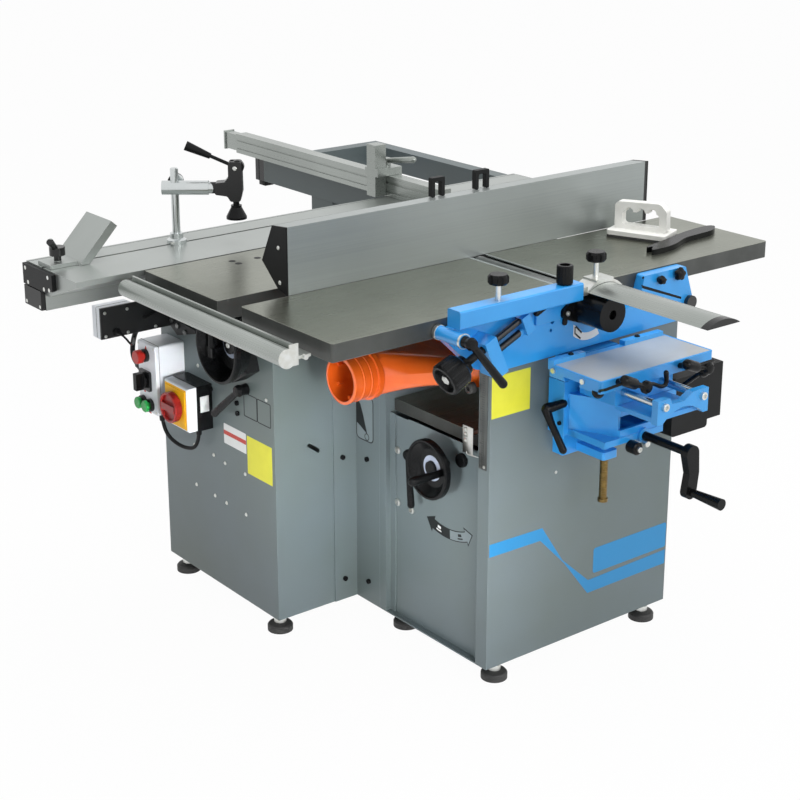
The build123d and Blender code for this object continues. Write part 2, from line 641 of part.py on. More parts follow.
# Mortiser slideway on the stripe wall with the standing brass screw on its bracket
way_x = (175, 325)
way_y = -31
mort_screw = (234, -94)
mort_screw_r = 8
screw_foot = 404
step_z = (504, 521)
step_half = 21
knee_z = (556, 646)
knee_up = 45
knee_down = 20
tray_thick = 10
with BuildPart() as mortise_slideway:
    block(way_x, (way_y, 0), (step_z[0] - 4, 716))
    with BuildSketch(plan(step_z[0])):
        with BuildLine():
            FilletPolyline((mort_screw[0] - step_half, way_y + 10),
                           (mort_screw[0] - step_half, mort_screw[1] - 18),
                           (mort_screw[0] + step_half, mort_screw[1] - 18),
                           (mort_screw[0] + step_half, way_y + 10), radius=6, close=True)
        make_face()
    extrude(amount=step_z[1] - step_z[0])
    bar((mort_screw[0], mort_screw[1], screw_foot),
        (mort_screw[0], mort_screw[1], knee_z[1] - tray_thick - knee_down - 4), mort_screw_r)
    bar((mort_screw[0], mort_screw[1], screw_foot), (mort_screw[0], mort_screw[1], screw_foot + 7),
        mort_screw_r + 3)
mortise_slideway.part.label = "mortise_slideway"
export_step(mortise_slideway.part, "parts/mortise_slideway.step")

# Knee: hollow casting that narrows to the front over a square flange, with a tray, two rods and a tie
knee_x = (166, 335)
nose_x = (212, 332)
knee_front = -158
flange_top = knee_z[0] + 14
cheek_top = casting_low - knee_up - 4
cheek_y = (-52, -6)
upright_top = knee_z[1] + 48
rod_z = knee_z[1] + 26
rods = (207, 316)
rod_r = 8
tie_y = (-278, -262)
crank_at = (276, knee_z[0] + 6)
crank_r = 9
lever_axle = (-150, knee_z[1] - 16)
knee_back = way_y - run
knee_wall = 8
window_x = (nose_x[0] - 2, nose_x[1] - 20)
window_z = (flange_top + 15, knee_z[1] - 31)
with BuildPart() as mortise_knee:
    block(knee_x, (knee_front - 2, knee_back), (knee_z[0], flange_top))
    seen_from_above([(knee_x[0], knee_back), (knee_x[0], cheek_y[0] - 4), (nose_x[0], knee_front),
                     (nose_x[1], knee_front), (knee_x[1], knee_back)], (flange_top, knee_z[1]))
    seen_from_above([(knee_x[0] + knee_wall, cheek_y[0] - 10),
                     (nose_x[0] + knee_wall, knee_front + knee_wall),
                     (nose_x[1] - knee_wall, knee_front + knee_wall),
                     (knee_x[1] - knee_wall, cheek_y[0] - 10)],
                    (flange_top, knee_z[1] - tray_thick), mode=Mode.SUBTRACT)
    block(window_x, (knee_front - 1, knee_front + knee_wall + 1), window_z, mode=Mode.SUBTRACT)
    block((rods[0] - 12, rods[1] + 16), (tie_y[1], knee_front + 1), (knee_z[1] - tray_thick, knee_z[1]))
    block(knee_x, (cheek_y[0], knee_back), (knee_z[0], upright_top))
    block((knee_x[0] - 12, way_x[0] - run), cheek_y, (knee_z[0], cheek_top))
    block((way_x[1] + run, knee_x[1] + 6), cheek_y, (knee_z[0], cheek_top))
    for x in rods:
        bar((x, cheek_y[0] + 2, rod_z), (x, tie_y[0] + 6, rod_z), rod_r)
    with BuildSketch(side(tie_y[1])):
        with BuildLine():
            Polyline((rods[1] + 4, knee_z[1] - tray_thick), (rods[1] + 18, knee_z[1] - tray_thick),
                     (rods[1] + 18, rod_z + 14), (rods[1] - 28, rod_z + 14), (rods[1] - 54, rod_z),
                     (rods[0] + 23, rod_z + 1), (rods[0] + 16, rod_z + 14), (rods[0] - 18, rod_z + 14),
                     (rods[0] - 18, knee_z[1] - tray_thick), (rods[0] - 2, knee_z[1] - tray_thick))
            ThreePointArc((rods[0] - 2, knee_z[1] - tray_thick), ((rods[0] + rods[1]) / 2, rod_z - 12),
                          (rods[1] + 4, knee_z[1] - tray_thick))
        make_face()
    extrude(amount=tie_y[1] - tie_y[0])
    bar((crank_at[0], knee_front - 8, crank_at[1]), (crank_at[0], cheek_y[0] - 10, crank_at[1]), 16)
    bore((crank_at[0], knee_front - 9, crank_at[1]), (crank_at[0], cheek_y[0] - 9, crank_at[1]),
         crank_r + fit)
    bore((mort_screw[0], mort_screw[1], knee_z[0] - 1),
         (mort_screw[0], mort_screw[1], knee_z[1] - tray_thick), mort_screw_r + run)
    block((knee_x[1] - 6, knee_x[1] + 26), (lever_axle[0] - 18, lever_axle[0] + 18),
          (lever_axle[1] - 18, lever_axle[1] + 16))
    bore((knee_x[1] - 7, lever_axle[0], lever_axle[1]), (knee_x[1] + 27, lever_axle[0], lever_axle[1]),
         lock_shaft_r + fit)
mortise_knee.part.label = "mortise_knee"
export_step(mortise_knee.part, "parts/mortise_knee.step")

# Saddle on the rods, with the cross way of the table
saddle_y = (-166, -66)
saddle_top = knee_z[1] + 48
with BuildPart() as mortise_saddle:
    block((184, 350), saddle_y, (knee_z[1] + run, saddle_top))
    seen_from_end([(-134, saddle_top), (-96, saddle_top), (-90, saddle_top + 9), (-140, saddle_top + 9)],
                  (176, 358))
    for x in rods:
        bore((x, -180, rod_z), (x, -60, rod_z), rod_r + fit)
mortise_saddle.part.label = "mortise_saddle"
export_step(mortise_saddle.part, "parts/mortise_saddle.step")

# Mortise table: machined plate with a dovetail groove and two rear lips
mort_x = (113, 438)
mort_y = (-195, -45)
mort_top = saddle_top + 26
with BuildPart() as mortise_table:
    block(mort_x, mort_y, (saddle_top + run, mort_top))
    fillet(mortise_table.edges().filter_by(Axis.Z), 8)
    seen_from_end([(-134 - run, saddle_top), (-96 + run, saddle_top), (-90 + run, saddle_top + 9 + run),
                   (-140 - run, saddle_top + 9 + run)], (mort_x[0] - 1, mort_x[1] + 1), mode=Mode.SUBTRACT)
    for x in ((mort_x[0], 202), (315, 429)):
        block(x, (mort_y[1] - 16, mort_y[1]), (mort_top - 12, mort_top + 10))
mortise_table.part.label = "mortise_table"
export_step(mortise_table.part, "parts/mortise_table.step")

# Crank of the knee: cast arm with a bowed middle, turned grip
crank_y = (tie_y[0] - 20, tie_y[0] - 3)
crank_bow = (crank_at[0] + 7, crank_at[1] - 42)
crank_end = (crank_at[0] + 1, crank_at[1] - 82)
with BuildPart() as mortise_crank:
    bar((crank_at[0], cheek_y[0] - 12, crank_at[1]), (crank_at[0], crank_y[0] + 4, crank_at[1]), crank_r)
    for near, far, near_r, far_r in ((crank_at, crank_bow, 18, 14), (crank_bow, crank_end, 14, 15)):
        with BuildSketch(side(crank_y[1])) as arm:
            with Locations(near):
                Circle(near_r)
            with Locations(far):
                Circle(far_r)
            make_hull()
        extrude(arm.sketch, amount=crank_y[1] - crank_y[0])
    bar((crank_end[0], crank_y[0], crank_end[1]), (crank_end[0], 2 - reach_front, crank_end[1]), 8, tip=12)
mortise_crank.part.label = "mortise_crank"
export_step(mortise_crank.part, "parts/mortise_crank.step")

# Ball lever that moves the saddle
with BuildPart() as saddle_lever:
    y, z = lever_axle
    bar((knee_x[1] - 2, y, z), (knee_x[1] + 40, y, z), lock_shaft_r)
    bar((knee_x[1] + 26 + run, y, z), (knee_x[1] + 40, y, z), 12)
    bar((knee_x[1] + 34, y, z), (knee_x[1] + 44, y - 66, z + 60), 5)
    ball((knee_x[1] + 45, y - 70, z + 64), 13)
saddle_lever.part.label = "saddle_lever"
export_step(saddle_lever.part, "parts/saddle_lever.step")

# Black cover box at the right of the slideway
with BuildPart() as slide_cover:
    block((458, 572), (-72, 0), (484, 616))
    fillet(slide_cover.edges().filter_by(Axis.Y), 8)
    block((572, 626), (-62, -8), (496, 622))
slide_cover.part.label = "slide_cover"
export_step(slide_cover.part, "parts/slide_cover.step")

# Saw table with the blade opening and its aluminium insert
insert_x = (blade_x - 180, blade_x + 180)
insert_y = (blade_y - 22, blade_y + 18)
insert_t = 4
insert_gap = 0.3
with BuildPart() as saw_table:
    block(saw_table_x, saw_table_y, (saw_top, table_top))
    for start, finish in ((-394, -222), (-208, 60), (74, 290), (304, 508)):
        block((start, finish), (saw_table_y[0] + 12, saw_table_y[1] - 10), (saw_top - 1, table_top - 14),
              mode=Mode.SUBTRACT)
    block((insert_x[0] + 10, insert_x[1] - 10), (insert_y[0] + 6, insert_y[1] - 6),
          (saw_top - 1, table_top + 1), mode=Mode.SUBTRACT)
    block(insert_x, insert_y, (table_top - insert_t, table_top + 1), mode=Mode.SUBTRACT)
    for x, y in ((-217, 602), (-217, 582), (-162, 591)):
        bore((x, y, table_top - 15), (x, y, table_top + 1), 4)
    with BuildSketch(plan(table_top - insert_t)):
        with Locations(((insert_x[0] + insert_x[1]) / 2, (insert_y[0] + insert_y[1]) / 2)):
            Rectangle(insert_x[1] - insert_x[0] - 2 * insert_gap, insert_y[1] - insert_y[0] - 2 * insert_gap)
        with Locations(((insert_x[0] + insert_x[1]) / 2, blade_y)):
            SlotOverall(290, 8, mode=Mode.SUBTRACT)
    extrude(amount=insert_t)
saw_table.part.label = "saw_table"
export_step(saw_table.part, "parts/saw_table.step")

# Rip rail: round nose bar, upstand and angle in one section, with its end plate and end screw
rail_x = -460
rail_z = table_top - 25
rail_y = (45, saw_table_y[1] - 12)
nose_r = 18
rail_plate = 3
with BuildPart() as rip_rail:
    with BuildSketch(side(rail_y[1])):
        with Locations((rail_x, rail_z)):
            Circle(nose_r)
        with BuildLine():
            Polyline((rail_x, rail_z - 6), (saw_table_x[0], rail_z - 6), (saw_table_x[0], rail_z),
                     (rail_x + 20, rail_z), (rail_x + 20, table_top - 2), (rail_x + 15, table_top - 2),
                     (rail_x + 15, rail_z + 6), (rail_x, rail_z + 6), close=True)
        make_face()
    extrude(amount=rail_y[1] - rail_y[0])
    with BuildSketch(side(rail_y[0])):
        with Locations((rail_x, rail_z)):
            Circle(nose_r + 1)
        with Locations((rail_x + 14, rail_z + 5)):
            Rectangle(20, 42)
    extrude(amount=rail_plate)
    bar((rail_x + 38, rail_y[0], rail_z - 3), (rail_x + 38, rail_y[0] - 8, rail_z - 3), 5)
rip_rail.part.label = "rip_rail"
export_step(rip_rail.part, "parts/rip_rail.step")

# Fixed slide beam on the cabinet's low shoulder, with its end plates
with BuildPart() as slide_beam:
    block(slide_x, beam_y, (beam_level, carriage_base))
    block(slide_x, (beam_y[0] + 5, beam_y[0] + 38), (beam_level + 5, carriage_base - 5), mode=Mode.SUBTRACT)
    block(slide_x, (beam_y[1] - 38, beam_y[1] - 5), (beam_level + 5, carriage_base - 5), mode=Mode.SUBTRACT)
    for x in ((slide_x[0] - end_plate, slide_x[0]), (slide_x[1], slide_x[1] + end_plate)):
        block(x, (beam_y[0] + 2, beam_y[1] - 2), (beam_level + 1, carriage_base - 1))
slide_beam.part.label = "slide_beam"
export_step(slide_beam.part, "parts/slide_beam.step")

# Sliding carriage: ribbed aluminium section with a tee slot
carriage_low = carriage_base + run
carriage_edge = carriage_y[1]
skin_z = table_top - 8
pivot_at = (434, carriage_edge - 144)
pivot_r = 6
carriage_section = [(carriage_y[0], table_top), (carriage_edge, table_top), (carriage_edge, carriage_low),
                    (beam_y[0] - 2, carriage_low), (beam_y[0] - 2, carriage_base - 10),
                    (carriage_edge - 101, carriage_base - 10), (carriage_y[0], table_top - 12)]
hollows = [[(carriage_edge - 131, skin_z), (carriage_edge - 92, skin_z),
            (carriage_edge - 92, carriage_base + 6), (carriage_edge - 114, carriage_base + 4),
            (carriage_edge - 131, carriage_base + 10)],
           [(carriage_edge - 56, skin_z), (carriage_edge - 12, skin_z),
            (carriage_edge - 12, carriage_base + 8), (carriage_edge - 56, carriage_base + 8)]]
with BuildPart() as slide_carriage:
    seen_from_end(carriage_section, slide_x)
    for hollow in hollows:
        seen_from_end(hollow, slide_x, mode=Mode.SUBTRACT)
    block(slide_x, (slot_y - 4, slot_y + 4), (table_top - 7, table_top + 1), mode=Mode.SUBTRACT)
    block(slide_x, (slot_y - 8, slot_y + 8), (table_top - 12, table_top - 6), mode=Mode.SUBTRACT)
    block(slide_x, (carriage_edge - 10, carriage_edge - 7), (table_top - 3, table_top + 1),
          mode=Mode.SUBTRACT)
    bar((pivot_at[0], pivot_at[1], table_top - 4), (pivot_at[0], pivot_at[1], table_top + 30), pivot_r)
slide_carriage.part.label = "slide_carriage"
export_step(slide_carriage.part, "parts/slide_carriage.step")

with BuildPart() as carriage_end_plates:
    for x in ((slide_x[0] - end_plate, slide_x[0]), (slide_x[1], slide_x[1] + end_plate)):
        seen_from_end([(carriage_edge - 135, table_top - 3), (carriage_edge, table_top - 3),
                       (carriage_edge, carriage_low + 1), (carriage_edge - 103, carriage_low + 1),
                       (carriage_edge - 135, carriage_base + 12)], x)
carriage_end_plates.part.label = "carriage_end_plates"
export_step(carriage_end_plates.part, "parts/carriage_end_plates.step")

# Outrigger frame of rectangular tube bolted to the carriage's side
near_x = (428, 468)
far_x = (787, 827)
frame_end = carriage_edge + 576
near_end = frame_end + 10
bracket_mid = frame_end - 285
tube_z = (table_top - 62, table_top)
tube_wall = 3
tube_cap = 16
with BuildPart() as outrigger_frame:
    block(near_x, (carriage_edge, near_end), tube_z)
    block(far_x, (carriage_edge, frame_end), tube_z)
    block((near_x[1], far_x[0]), (frame_end - 40, frame_end), tube_z)
    for x, y in ((near_x, near_end), (far_x, frame_end - 4)):
        block((x[0] + tube_wall, x[1] - tube_wall), (carriage_edge + 4, y),
              (tube_z[0] + tube_wall, tube_z[1] - tube_wall), mode=Mode.SUBTRACT)
    block((near_x[0] - 1, near_x[1] + 1), (near_end, near_end + tube_cap), (tube_z[0] - 1, tube_z[1]))
    block((near_x[0] + 2, near_x[1] - 2), (bracket_mid - 48, bracket_mid + 47), (tube_z[0] - 48, tube_z[0]))
    bar((near_x[0] + 20, bracket_mid, tube_z[0] - 63), (near_x[0] + 20, bracket_mid, tube_z[0] - 48), 16)
outrigger_frame.part.label = "outrigger_frame"
export_step(outrigger_frame.part, "parts/outrigger_frame.step")

# Crosscut fence: hollow extrusion with its telescopic end
cross_x = (417, 451)
cross_y = (carriage_y[0] + 9, reach_back - 65)
cross_z = (table_top + run, table_top + 54)
cross_skin = 4
socket_y = cross_y[1] - 266
with BuildPart() as crosscut_fence:
    block(cross_x, cross_y, cross_z)
    block((cross_x[0] + cross_skin, cross_x[1] - cross_skin), (socket_y, cross_y[1] + 1),
          (cross_z[0] + cross_skin, cross_z[1] - cross_skin), mode=Mode.SUBTRACT)
    for low, high in ((34, 40), (12, 16)):
        block((cross_x[0] - 1, cross_x[0] + 3), (cross_y[0] - 1, cross_y[1] + 1),
              (table_top + low, table_top + high), mode=Mode.SUBTRACT)
    bore((pivot_at[0], pivot_at[1], table_top), (pivot_at[0], pivot_at[1], table_top + 32), pivot_r + fit)
crosscut_fence.part.label = "crosscut_fence"
export_step(crosscut_fence.part, "parts/crosscut_fence.step")

with BuildPart() as fence_extension:
    block((cross_x[0] + cross_skin + run, cross_x[1] - cross_skin - run), (socket_y + 10, reach_back - 4),
          (cross_z[0] + cross_skin + run, cross_z[1] - cross_skin - run))
    block((cross_x[0] + 1, cross_x[1] - 1), (reach_back - 6, reach_back), (cross_z[0] + 1, cross_z[1] - 1))
fence_extension.part.label = "fence_extension"
export_step(fence_extension.part, "parts/fence_extension.step")

# Stop on the crosscut fence: saddle, hanging plate and clamping lever
stop_mid = cross_y[0] + 228
stop_z = cross_z[1] + 20
with BuildPart() as flip_stop:
    block((cross_x[0] - 34, cross_x[1] + 8), (stop_mid - 26, stop_mid + 26), (cross_z[1] + run, stop_z))
    block((cross_x[0] - 34, cross_x[0] - run), (stop_mid - 16, stop_mid + 19), (table_top + 3, stop_z + 59))
    block((cross_x[1] + run, cross_x[1] + 8), (stop_mid - 26, stop_mid + 26), (cross_z[1] - 24, stop_z))
    bar((cross_x[0] + 12, stop_mid, stop_z), (cross_x[0] + 12, stop_mid, stop_z + 20), 12)
    bar((cross_x[0] + 12, stop_mid, stop_z + 14), (cross_x[0] + 22, stop_mid - 96, stop_z + 30), 6, tip=8)
    ball((cross_x[0] + 22, stop_mid - 96, stop_z + 30), 8)
flip_stop.part.label = "flip_stop"
export_step(flip_stop.part, "parts/flip_stop.step")

# Hold-down clamp: chrome column, swinging arm, eccentric lever, pad
column = (-232.5, slot_y)
column_r = 9
arm_z = table_top + 127
reach_dir = (0.787, -0.617)


def along_arm(d, z):
    return (column[0] + d * reach_dir[0], column[1] + d * reach_dir[1], z)


with BuildPart() as clamp_column:
    turned((column[0], column[1], table_top), (0, 0, 1), [(0, 0), (22, 0), (22, 9), (15, 13), (15, 24),
                                                        (column_r, 24), (column_r, 170), (column_r - 2, 172),
                                                        (0, 172)])
clamp_column.part.label = "clamp_column"
export_step(clamp_column.part, "parts/clamp_column.step")

head_at = 136
head_half = 15
fork_half = 7.5
lever_pivot = arm_z + 46
pivot_pin_r = 4
cross_dir = (-reach_dir[1], reach_dir[0])


def beside(p, d):
    return (p[0] + d * cross_dir[0], p[1] + d * cross_dir[1], p[2])


along = Plane(origin=(x0 + column[0], y0 + column[1], arm_z), x_dir=(reach_dir[0], reach_dir[1], 0),
              z_dir=(-cross_dir[0], -cross_dir[1], 0))
with BuildPart() as clamp_arm:
    bar(along_arm(-28, arm_z), along_arm(76, arm_z), 16)
    bar(along_arm(76, arm_z), along_arm(head_at - 30, arm_z), 13)
    with BuildSketch(along):
        with BuildLine():
            FilletPolyline((head_at - 46, -13), (head_at - 46, 13), (head_at - 24, 15), (head_at - 15, 26),
                           (head_at - 15, 61), (head_at + 15, 61), (head_at + 16, -8), (head_at + 11, -29),
                           (head_at - 11, -29), (head_at - 18, -17), radius=6, close=True)
        make_face()
    extrude(amount=head_half, both=True)
    with BuildSketch(along):
        with Locations((head_at, 44)):
            Rectangle(80, 40)
    extrude(amount=fork_half, both=True, mode=Mode.SUBTRACT)
    bar(beside(along_arm(0, arm_z + 10), 14), beside(along_arm(0, arm_z + 10), 32), 17)
    bore((column[0], column[1], arm_z - 20), (column[0], column[1], arm_z + 28), column_r + fit)
    bore(along_arm(head_at, arm_z - 37), along_arm(head_at, arm_z + 25), 7 + fit)
    bore(beside(along_arm(head_at, lever_pivot), -16), beside(along_arm(head_at, lever_pivot), 16),
         pivot_pin_r + fit)
clamp_arm.part.label = "clamp_arm"
export_step(clamp_arm.part, "parts/clamp_arm.step")

with BuildPart() as clamp_lever:
    pivot = along_arm(head_at, lever_pivot)
    cam = along_arm(head_at + 5, lever_pivot + 2)
    bar(beside(pivot, -7), beside(pivot, 7), 11)
    bar(beside(cam, -7), beside(cam, 7), 15)
    bar(beside(pivot, -head_half), beside(pivot, head_half), pivot_pin_r)
    bar(along_arm(head_at - 6, lever_pivot + 4), along_arm(head_at - 60, lever_pivot + 28), 4)
    bar(along_arm(head_at - 54, lever_pivot + 25), along_arm(head_at - 108, lever_pivot + 49), 6.5, tip=11)
clamp_lever.part.label = "clamp_lever"
export_step(clamp_lever.part, "parts/clamp_lever.step")

with BuildPart() as clamp_pad:
    turned(along_arm(head_at, arm_z - 70), (0, 0, 1), [(0, 0), (23, 0), (23, 5), (12, 26), (12, 31), (7, 31),
                                                      (7, 85), (0, 85)])
clamp_pad.part.label = "clamp_pad"
export_step(clamp_pad.part, "parts/clamp_pad.step")

# Edge shoe on the carriage with its clamp
shoe_x = slide_x[0] + 37
with BuildPart() as edge_shoe:
    seen_from_front([(shoe_x + 30, table_top + run), (shoe_x + 112, table_top + 87),
                     (shoe_x + 126, table_top + 74), (shoe_x + 56, table_top + run)],
                    (slot_y - 39, slot_y + 71))
    block((shoe_x - 32, shoe_x + 32), (slot_y - 29, slot_y + 29), (table_top + run, table_top + 9))
    bar((shoe_x, slot_y, table_top + 9), (shoe_x, slot_y, table_top + 34), 8)
    bar((shoe_x, slot_y, table_top + 22), (shoe_x, slot_y, table_top + 40), 17)
    bar((shoe_x, slot_y, table_top + 30), (shoe_x - 24, slot_y - 17, table_top + 58), 6, tip=8)
edge_shoe.part.label = "edge_shoe"
export_step(edge_shoe.part, "parts/edge_shoe.step")

# Arbor slide inside the saw cabinet: plate on the partition, bearing housing and motor
plate_y = (partition_y[0] - 13, partition_y[0] - run)
housing_y = (partition_y[0] - 46, partition_y[1] + 1)
with BuildPart() as saw_arbor:
    block((blade_x - 70, blade_x + 70), plate_y, (arbor_z - 130, arbor_z + 28))
    bar((blade_x, housing_y[0], arbor_z), (blade_x, housing_y[1], arbor_z), 24)
    bore((blade_x, housing_y[0] - 1, arbor_z), (blade_x, housing_y[1] + 1, arbor_z), arbor_r + fit)
    bar((blade_x, saw_y + 28, arbor_z - 94), (blade_x, plate_y[0], arbor_z - 94), 58)
saw_arbor.part.label = "saw_arbor"
export_step(saw_arbor.part, "parts/saw_arbor.step")

# Saw blade with arbor, flanges and nut
teeth = 36
with BuildPart() as saw_blade:
    bar((blade_x, blade_y - 1.5, arbor_z), (blade_x, blade_y + 1.5, arbor_z), blade_r)
    with BuildSketch(Plane(origin=(x0 + blade_x, y0 + blade_y - 2, arbor_z), x_dir=(1, 0, 0),
                           z_dir=(0, 1, 0))):
        with PolarLocations(blade_r, teeth):
            Triangle(a=12, b=9, C=70, rotation=25)
    extrude(amount=4, mode=Mode.SUBTRACT)
    bar((blade_x, housing_y[0] - 5, arbor_z), (blade_x, blade_y + 20, arbor_z), arbor_r)
    bar((blade_x, partition_y[1] + 4, arbor_z), (blade_x, blade_y - 1.5, arbor_z), 30)
    bar((blade_x, blade_y + 1.5, arbor_z), (blade_x, blade_y + 8, arbor_z), 30)
    with BuildSketch(side(blade_y + 8)):
        with Locations((blade_x, arbor_z)):
            RegularPolygon(18, 6)
    extrude(amount=-10)
saw_blade.part.label = "saw_blade"
export_step(saw_blade.part, "parts/saw_blade.step")

# Saw handwheel, deeply dished, with its grip folded into the bowl, and its lock lever
saw_wheel_face = saw_x - 85
saw_wheel_dish = 40
folded = (saw_wheel_face + 20, saw_wheel_y + 44)
with BuildPart() as saw_wheel:
    handwheel(saw_wheel_face, saw_wheel_y, saw_wheel_z, saw_wheel_r, saw_wheel_dish, 20,
              saw_x - wheel_bracket - 2 - saw_wheel_face, saw_x + 60)
    bar((folded[0], folded[1], saw_wheel_z - 34), (folded[0], folded[1], saw_wheel_z + 26), 10, tip=8)
    block((folded[0] - 8, folded[0] + 20), (folded[1] - 12, folded[1] + 12),
          (saw_wheel_z - 34, saw_wheel_z - 12))
    block((folded[0], folded[0] + 20), (folded[1] - 7, folded[1] + 7), (saw_wheel_z + 10, saw_wheel_z + 20))
saw_wheel.part.label = "saw_wheel"
export_step(saw_wheel.part, "parts/saw_wheel.step")

with BuildPart() as saw_lock_lever:
    clamp_handle((saw_x - 1, saw_lock[0], saw_lock[1]), (-1, 0, 0), 14, 30, lock_shaft_r, 20,
                 (saw_x - 24, saw_lock[0] + 98, saw_lock[1] - 80), 9)
saw_lock_lever.part.label = "saw_lock_lever"
export_step(saw_lock_lever.part, "parts/saw_lock_lever.step")

# Electrics: control box, main switch, junction box on its plate
box_x = (saw_x - 76, saw_x)
box_y = (saw_back - 101, saw_back - 20)
box_z = (443, 611)
control_y = saw_back - 59
control_places = ((control_y, 582), (control_y + 4, 521), (control_y - 13, 464), (control_y + 19, 464))
collar = 8
collar_r = 15.5
selector_plate = 48
with BuildPart() as control_box:
    block(box_x, box_y, box_z)
    fillet(control_box.edges().filter_by(Axis.X), 5)
    fillet(control_box.faces().sort_by(Axis.X)[0].edges(), 3)
    for i in (0, 2, 3):
        y, z = control_places[i]
        bar((box_x[0] - collar, y, z), (box_x[0] + 1, y, z), collar_r)
    with BuildSketch(end(box_x[0] - collar + 2)):
        with Locations(control_places[1]):
            RectangleRounded(selector_plate, selector_plate, 5)
    extrude(amount=collar)
    for (y, z), r in zip(control_places, (9, 9, 8, 8)):
        bore((box_x[0] - collar - 1, y, z), (box_x[0] + 30, y, z), r + fit)
control_box.part.label = "control_box"
export_step(control_box.part, "parts/control_box.step")

switch_y = (saw_back - 217, saw_back - 113)
switch_z = (432, 540)
switch_rim = 11
switch_mid = ((switch_y[0] + switch_y[1]) / 2, (switch_z[0] + switch_z[1]) / 2)
with BuildPart() as main_switch:
    block((saw_x - 40, saw_x), switch_y, switch_z)
    block((saw_x - 65, saw_x - 40), (switch_y[0] + 2, switch_y[1] - 2), (switch_z[0] + 2, switch_z[1] - 2))
    fillet(main_switch.faces().sort_by(Axis.X)[0].edges(), 5)
    block((saw_x - 67, saw_x - 65), (switch_y[0] + switch_rim, switch_y[1] - switch_rim),
          (switch_z[0] + switch_rim, switch_z[1] - switch_rim))
    bore((saw_x - 68, switch_mid[0], switch_mid[1]), (saw_x - 30, switch_mid[0], switch_mid[1]), 8 + fit)
main_switch.part.label = "main_switch"
export_step(main_switch.part, "parts/main_switch.step")

junction_x = (saw_x - 185, saw_x - 103)
junction_y = (saw_back - 55, saw_back - 50)
junction_z = (639, 712)
with BuildPart() as junction_box:
    block((junction_x[0], saw_x), junction_y, junction_z)
    block(junction_x, (junction_y[1], junction_y[1] + 33), junction_z)
    block((saw_x - 4, saw_x), (junction_y[1], junction_y[1] + 30), junction_z)
    seen_from_end([(junction_y[0], junction_z[0] + 2), (junction_y[0], junction_z[1] - 8),
                   (junction_y[0] - 24, junction_z[0] + 23), (junction_y[0] - 113, junction_z[0] + 15),
                   (junction_y[0] - 110, junction_z[0] + 7), (junction_y[0] - 32, junction_z[0] - 15)],
                  (saw_x - 8, saw_x))
junction_box.part.label = "junction_box"
export_step(junction_box.part, "parts/junction_box.step")


# Cables between the boxes: straight runs joined by arcs as large as the shorter run allows
def cable(points, radius):
    route = [Vector(x0 + x, y0 + y, z) for x, y, z in points]
    bends = []
    for before, at, after in zip(route, route[1:], route[2:]):
        turn = math.radians((at - before).get_angle(after - at))
        bends.append(0.45 * min((at - before).length, (after - at).length) / math.tan(turn / 2))
    with BuildLine() as path:
        FilletPolyline(*route, radius=bends)
    with BuildSketch(Plane(origin=route[0], z_dir=path.line % 0)) as core:
        Circle(radius)
    sweep(core.sketch, path=path.line)


with BuildPart() as cables:
    feed_side = box_y[1] + 32
    cable([(junction_x[1], junction_y[1] + 17, junction_z[0] + 25),
           (junction_x[1] + 29, junction_y[1] + 17, junction_z[0] + 25),
           (junction_x[1] + 36, feed_side - 7, box_z[1] + 9),
           (junction_x[1] + 33, feed_side - 1, box_z[1] - 31),
           (junction_x[1] + 37, feed_side, box_z[1] - 70), (junction_x[1] + 37, box_y[1], box_z[1] - 70)], 6)
    cable([(junction_x[0] + 38, junction_y[0], junction_z[0] + 13),
           (junction_x[0] + 38, junction_y[0] - 18, junction_z[0] + 13),
           (junction_x[0] + 46, junction_y[0] - 28, junction_z[0] + 3),
           (junction_x[0] + 68, junction_y[0] - 14, box_z[1] + 7),
           (junction_x[1] + 34, feed_side - 5, box_z[1] - 8)], 2.5)
    loop_low = switch_z[0] - 50
    cable([(saw_x - 53, box_y[0] + 21, box_z[0]), (saw_x - 53, box_y[0] + 21, box_z[0] - 31),
           (saw_x - 40, box_y[0] - 22, loop_low), (saw_x - 26, switch_mid[0] - 2, loop_low + 6),
           (saw_x - 20, switch_mid[0] - 22, switch_z[0] - 20),
           (saw_x - 20, switch_mid[0] - 22, switch_z[0])], 4.5)
cables.part.label = "cables"
export_step(cables.part, "parts/cables.step")


# Push buttons and turning knobs of the electrics, each on a stem through its collar
def button(place, head, head_r, stem_r, travel):
    y, z = place
    back = 20 + collar + travel
    turned((box_x[0] + 20, y, z), (-1, 0, 0), [(0, 0), (stem_r, 0), (stem_r, back), (head_r, back),
                                              (head_r, back + head - 2), (head_r - 2, back + head),
                                              (0, back + head)])


with BuildPart() as stop_button:
    button(control_places[0], 15, 16, 9, 6)
stop_button.part.label = "stop_button"
export_step(stop_button.part, "parts/stop_button.step")

with BuildPart() as selector_knob:
    button(control_places[1], 6, 19, 9, 1)
    block((box_x[0] - 31, box_x[0] - 12), (control_places[1][0] - 7, control_places[1][0] + 7),
          (control_places[1][1] - 20, control_places[1][1] + 20))
selector_knob.part.label = "selector_knob"
export_step(selector_knob.part, "parts/selector_knob.step")

with BuildPart() as start_button_left:
    button(control_places[3], 7, 14, 8, 5)
start_button_left.part.label = "start_button_left"
export_step(start_button_left.part, "parts/start_button_left.step")

with BuildPart() as start_button_right:
    button(control_places[2], 7, 14, 8, 5)
start_button_right.part.label = "start_button_right"
export_step(start_button_right.part, "parts/start_button_right.step")

with BuildPart() as main_knob:
    turned((saw_x - 34, switch_mid[0], switch_mid[1]), (-1, 0, 0),
           [(0, 0), (8, 0), (8, 34), (33, 34), (36, 38), (36, 52), (33, 54), (30, 52), (28, 46), (0, 46)])
    block((saw_x - 88, saw_x - 79), (switch_mid[0] - 28, switch_mid[0] + 28),
          (switch_mid[1] - 8, switch_mid[1] + 8))
main_knob.part.label = "main_knob"
export_step(main_knob.part, "parts/main_knob.step")

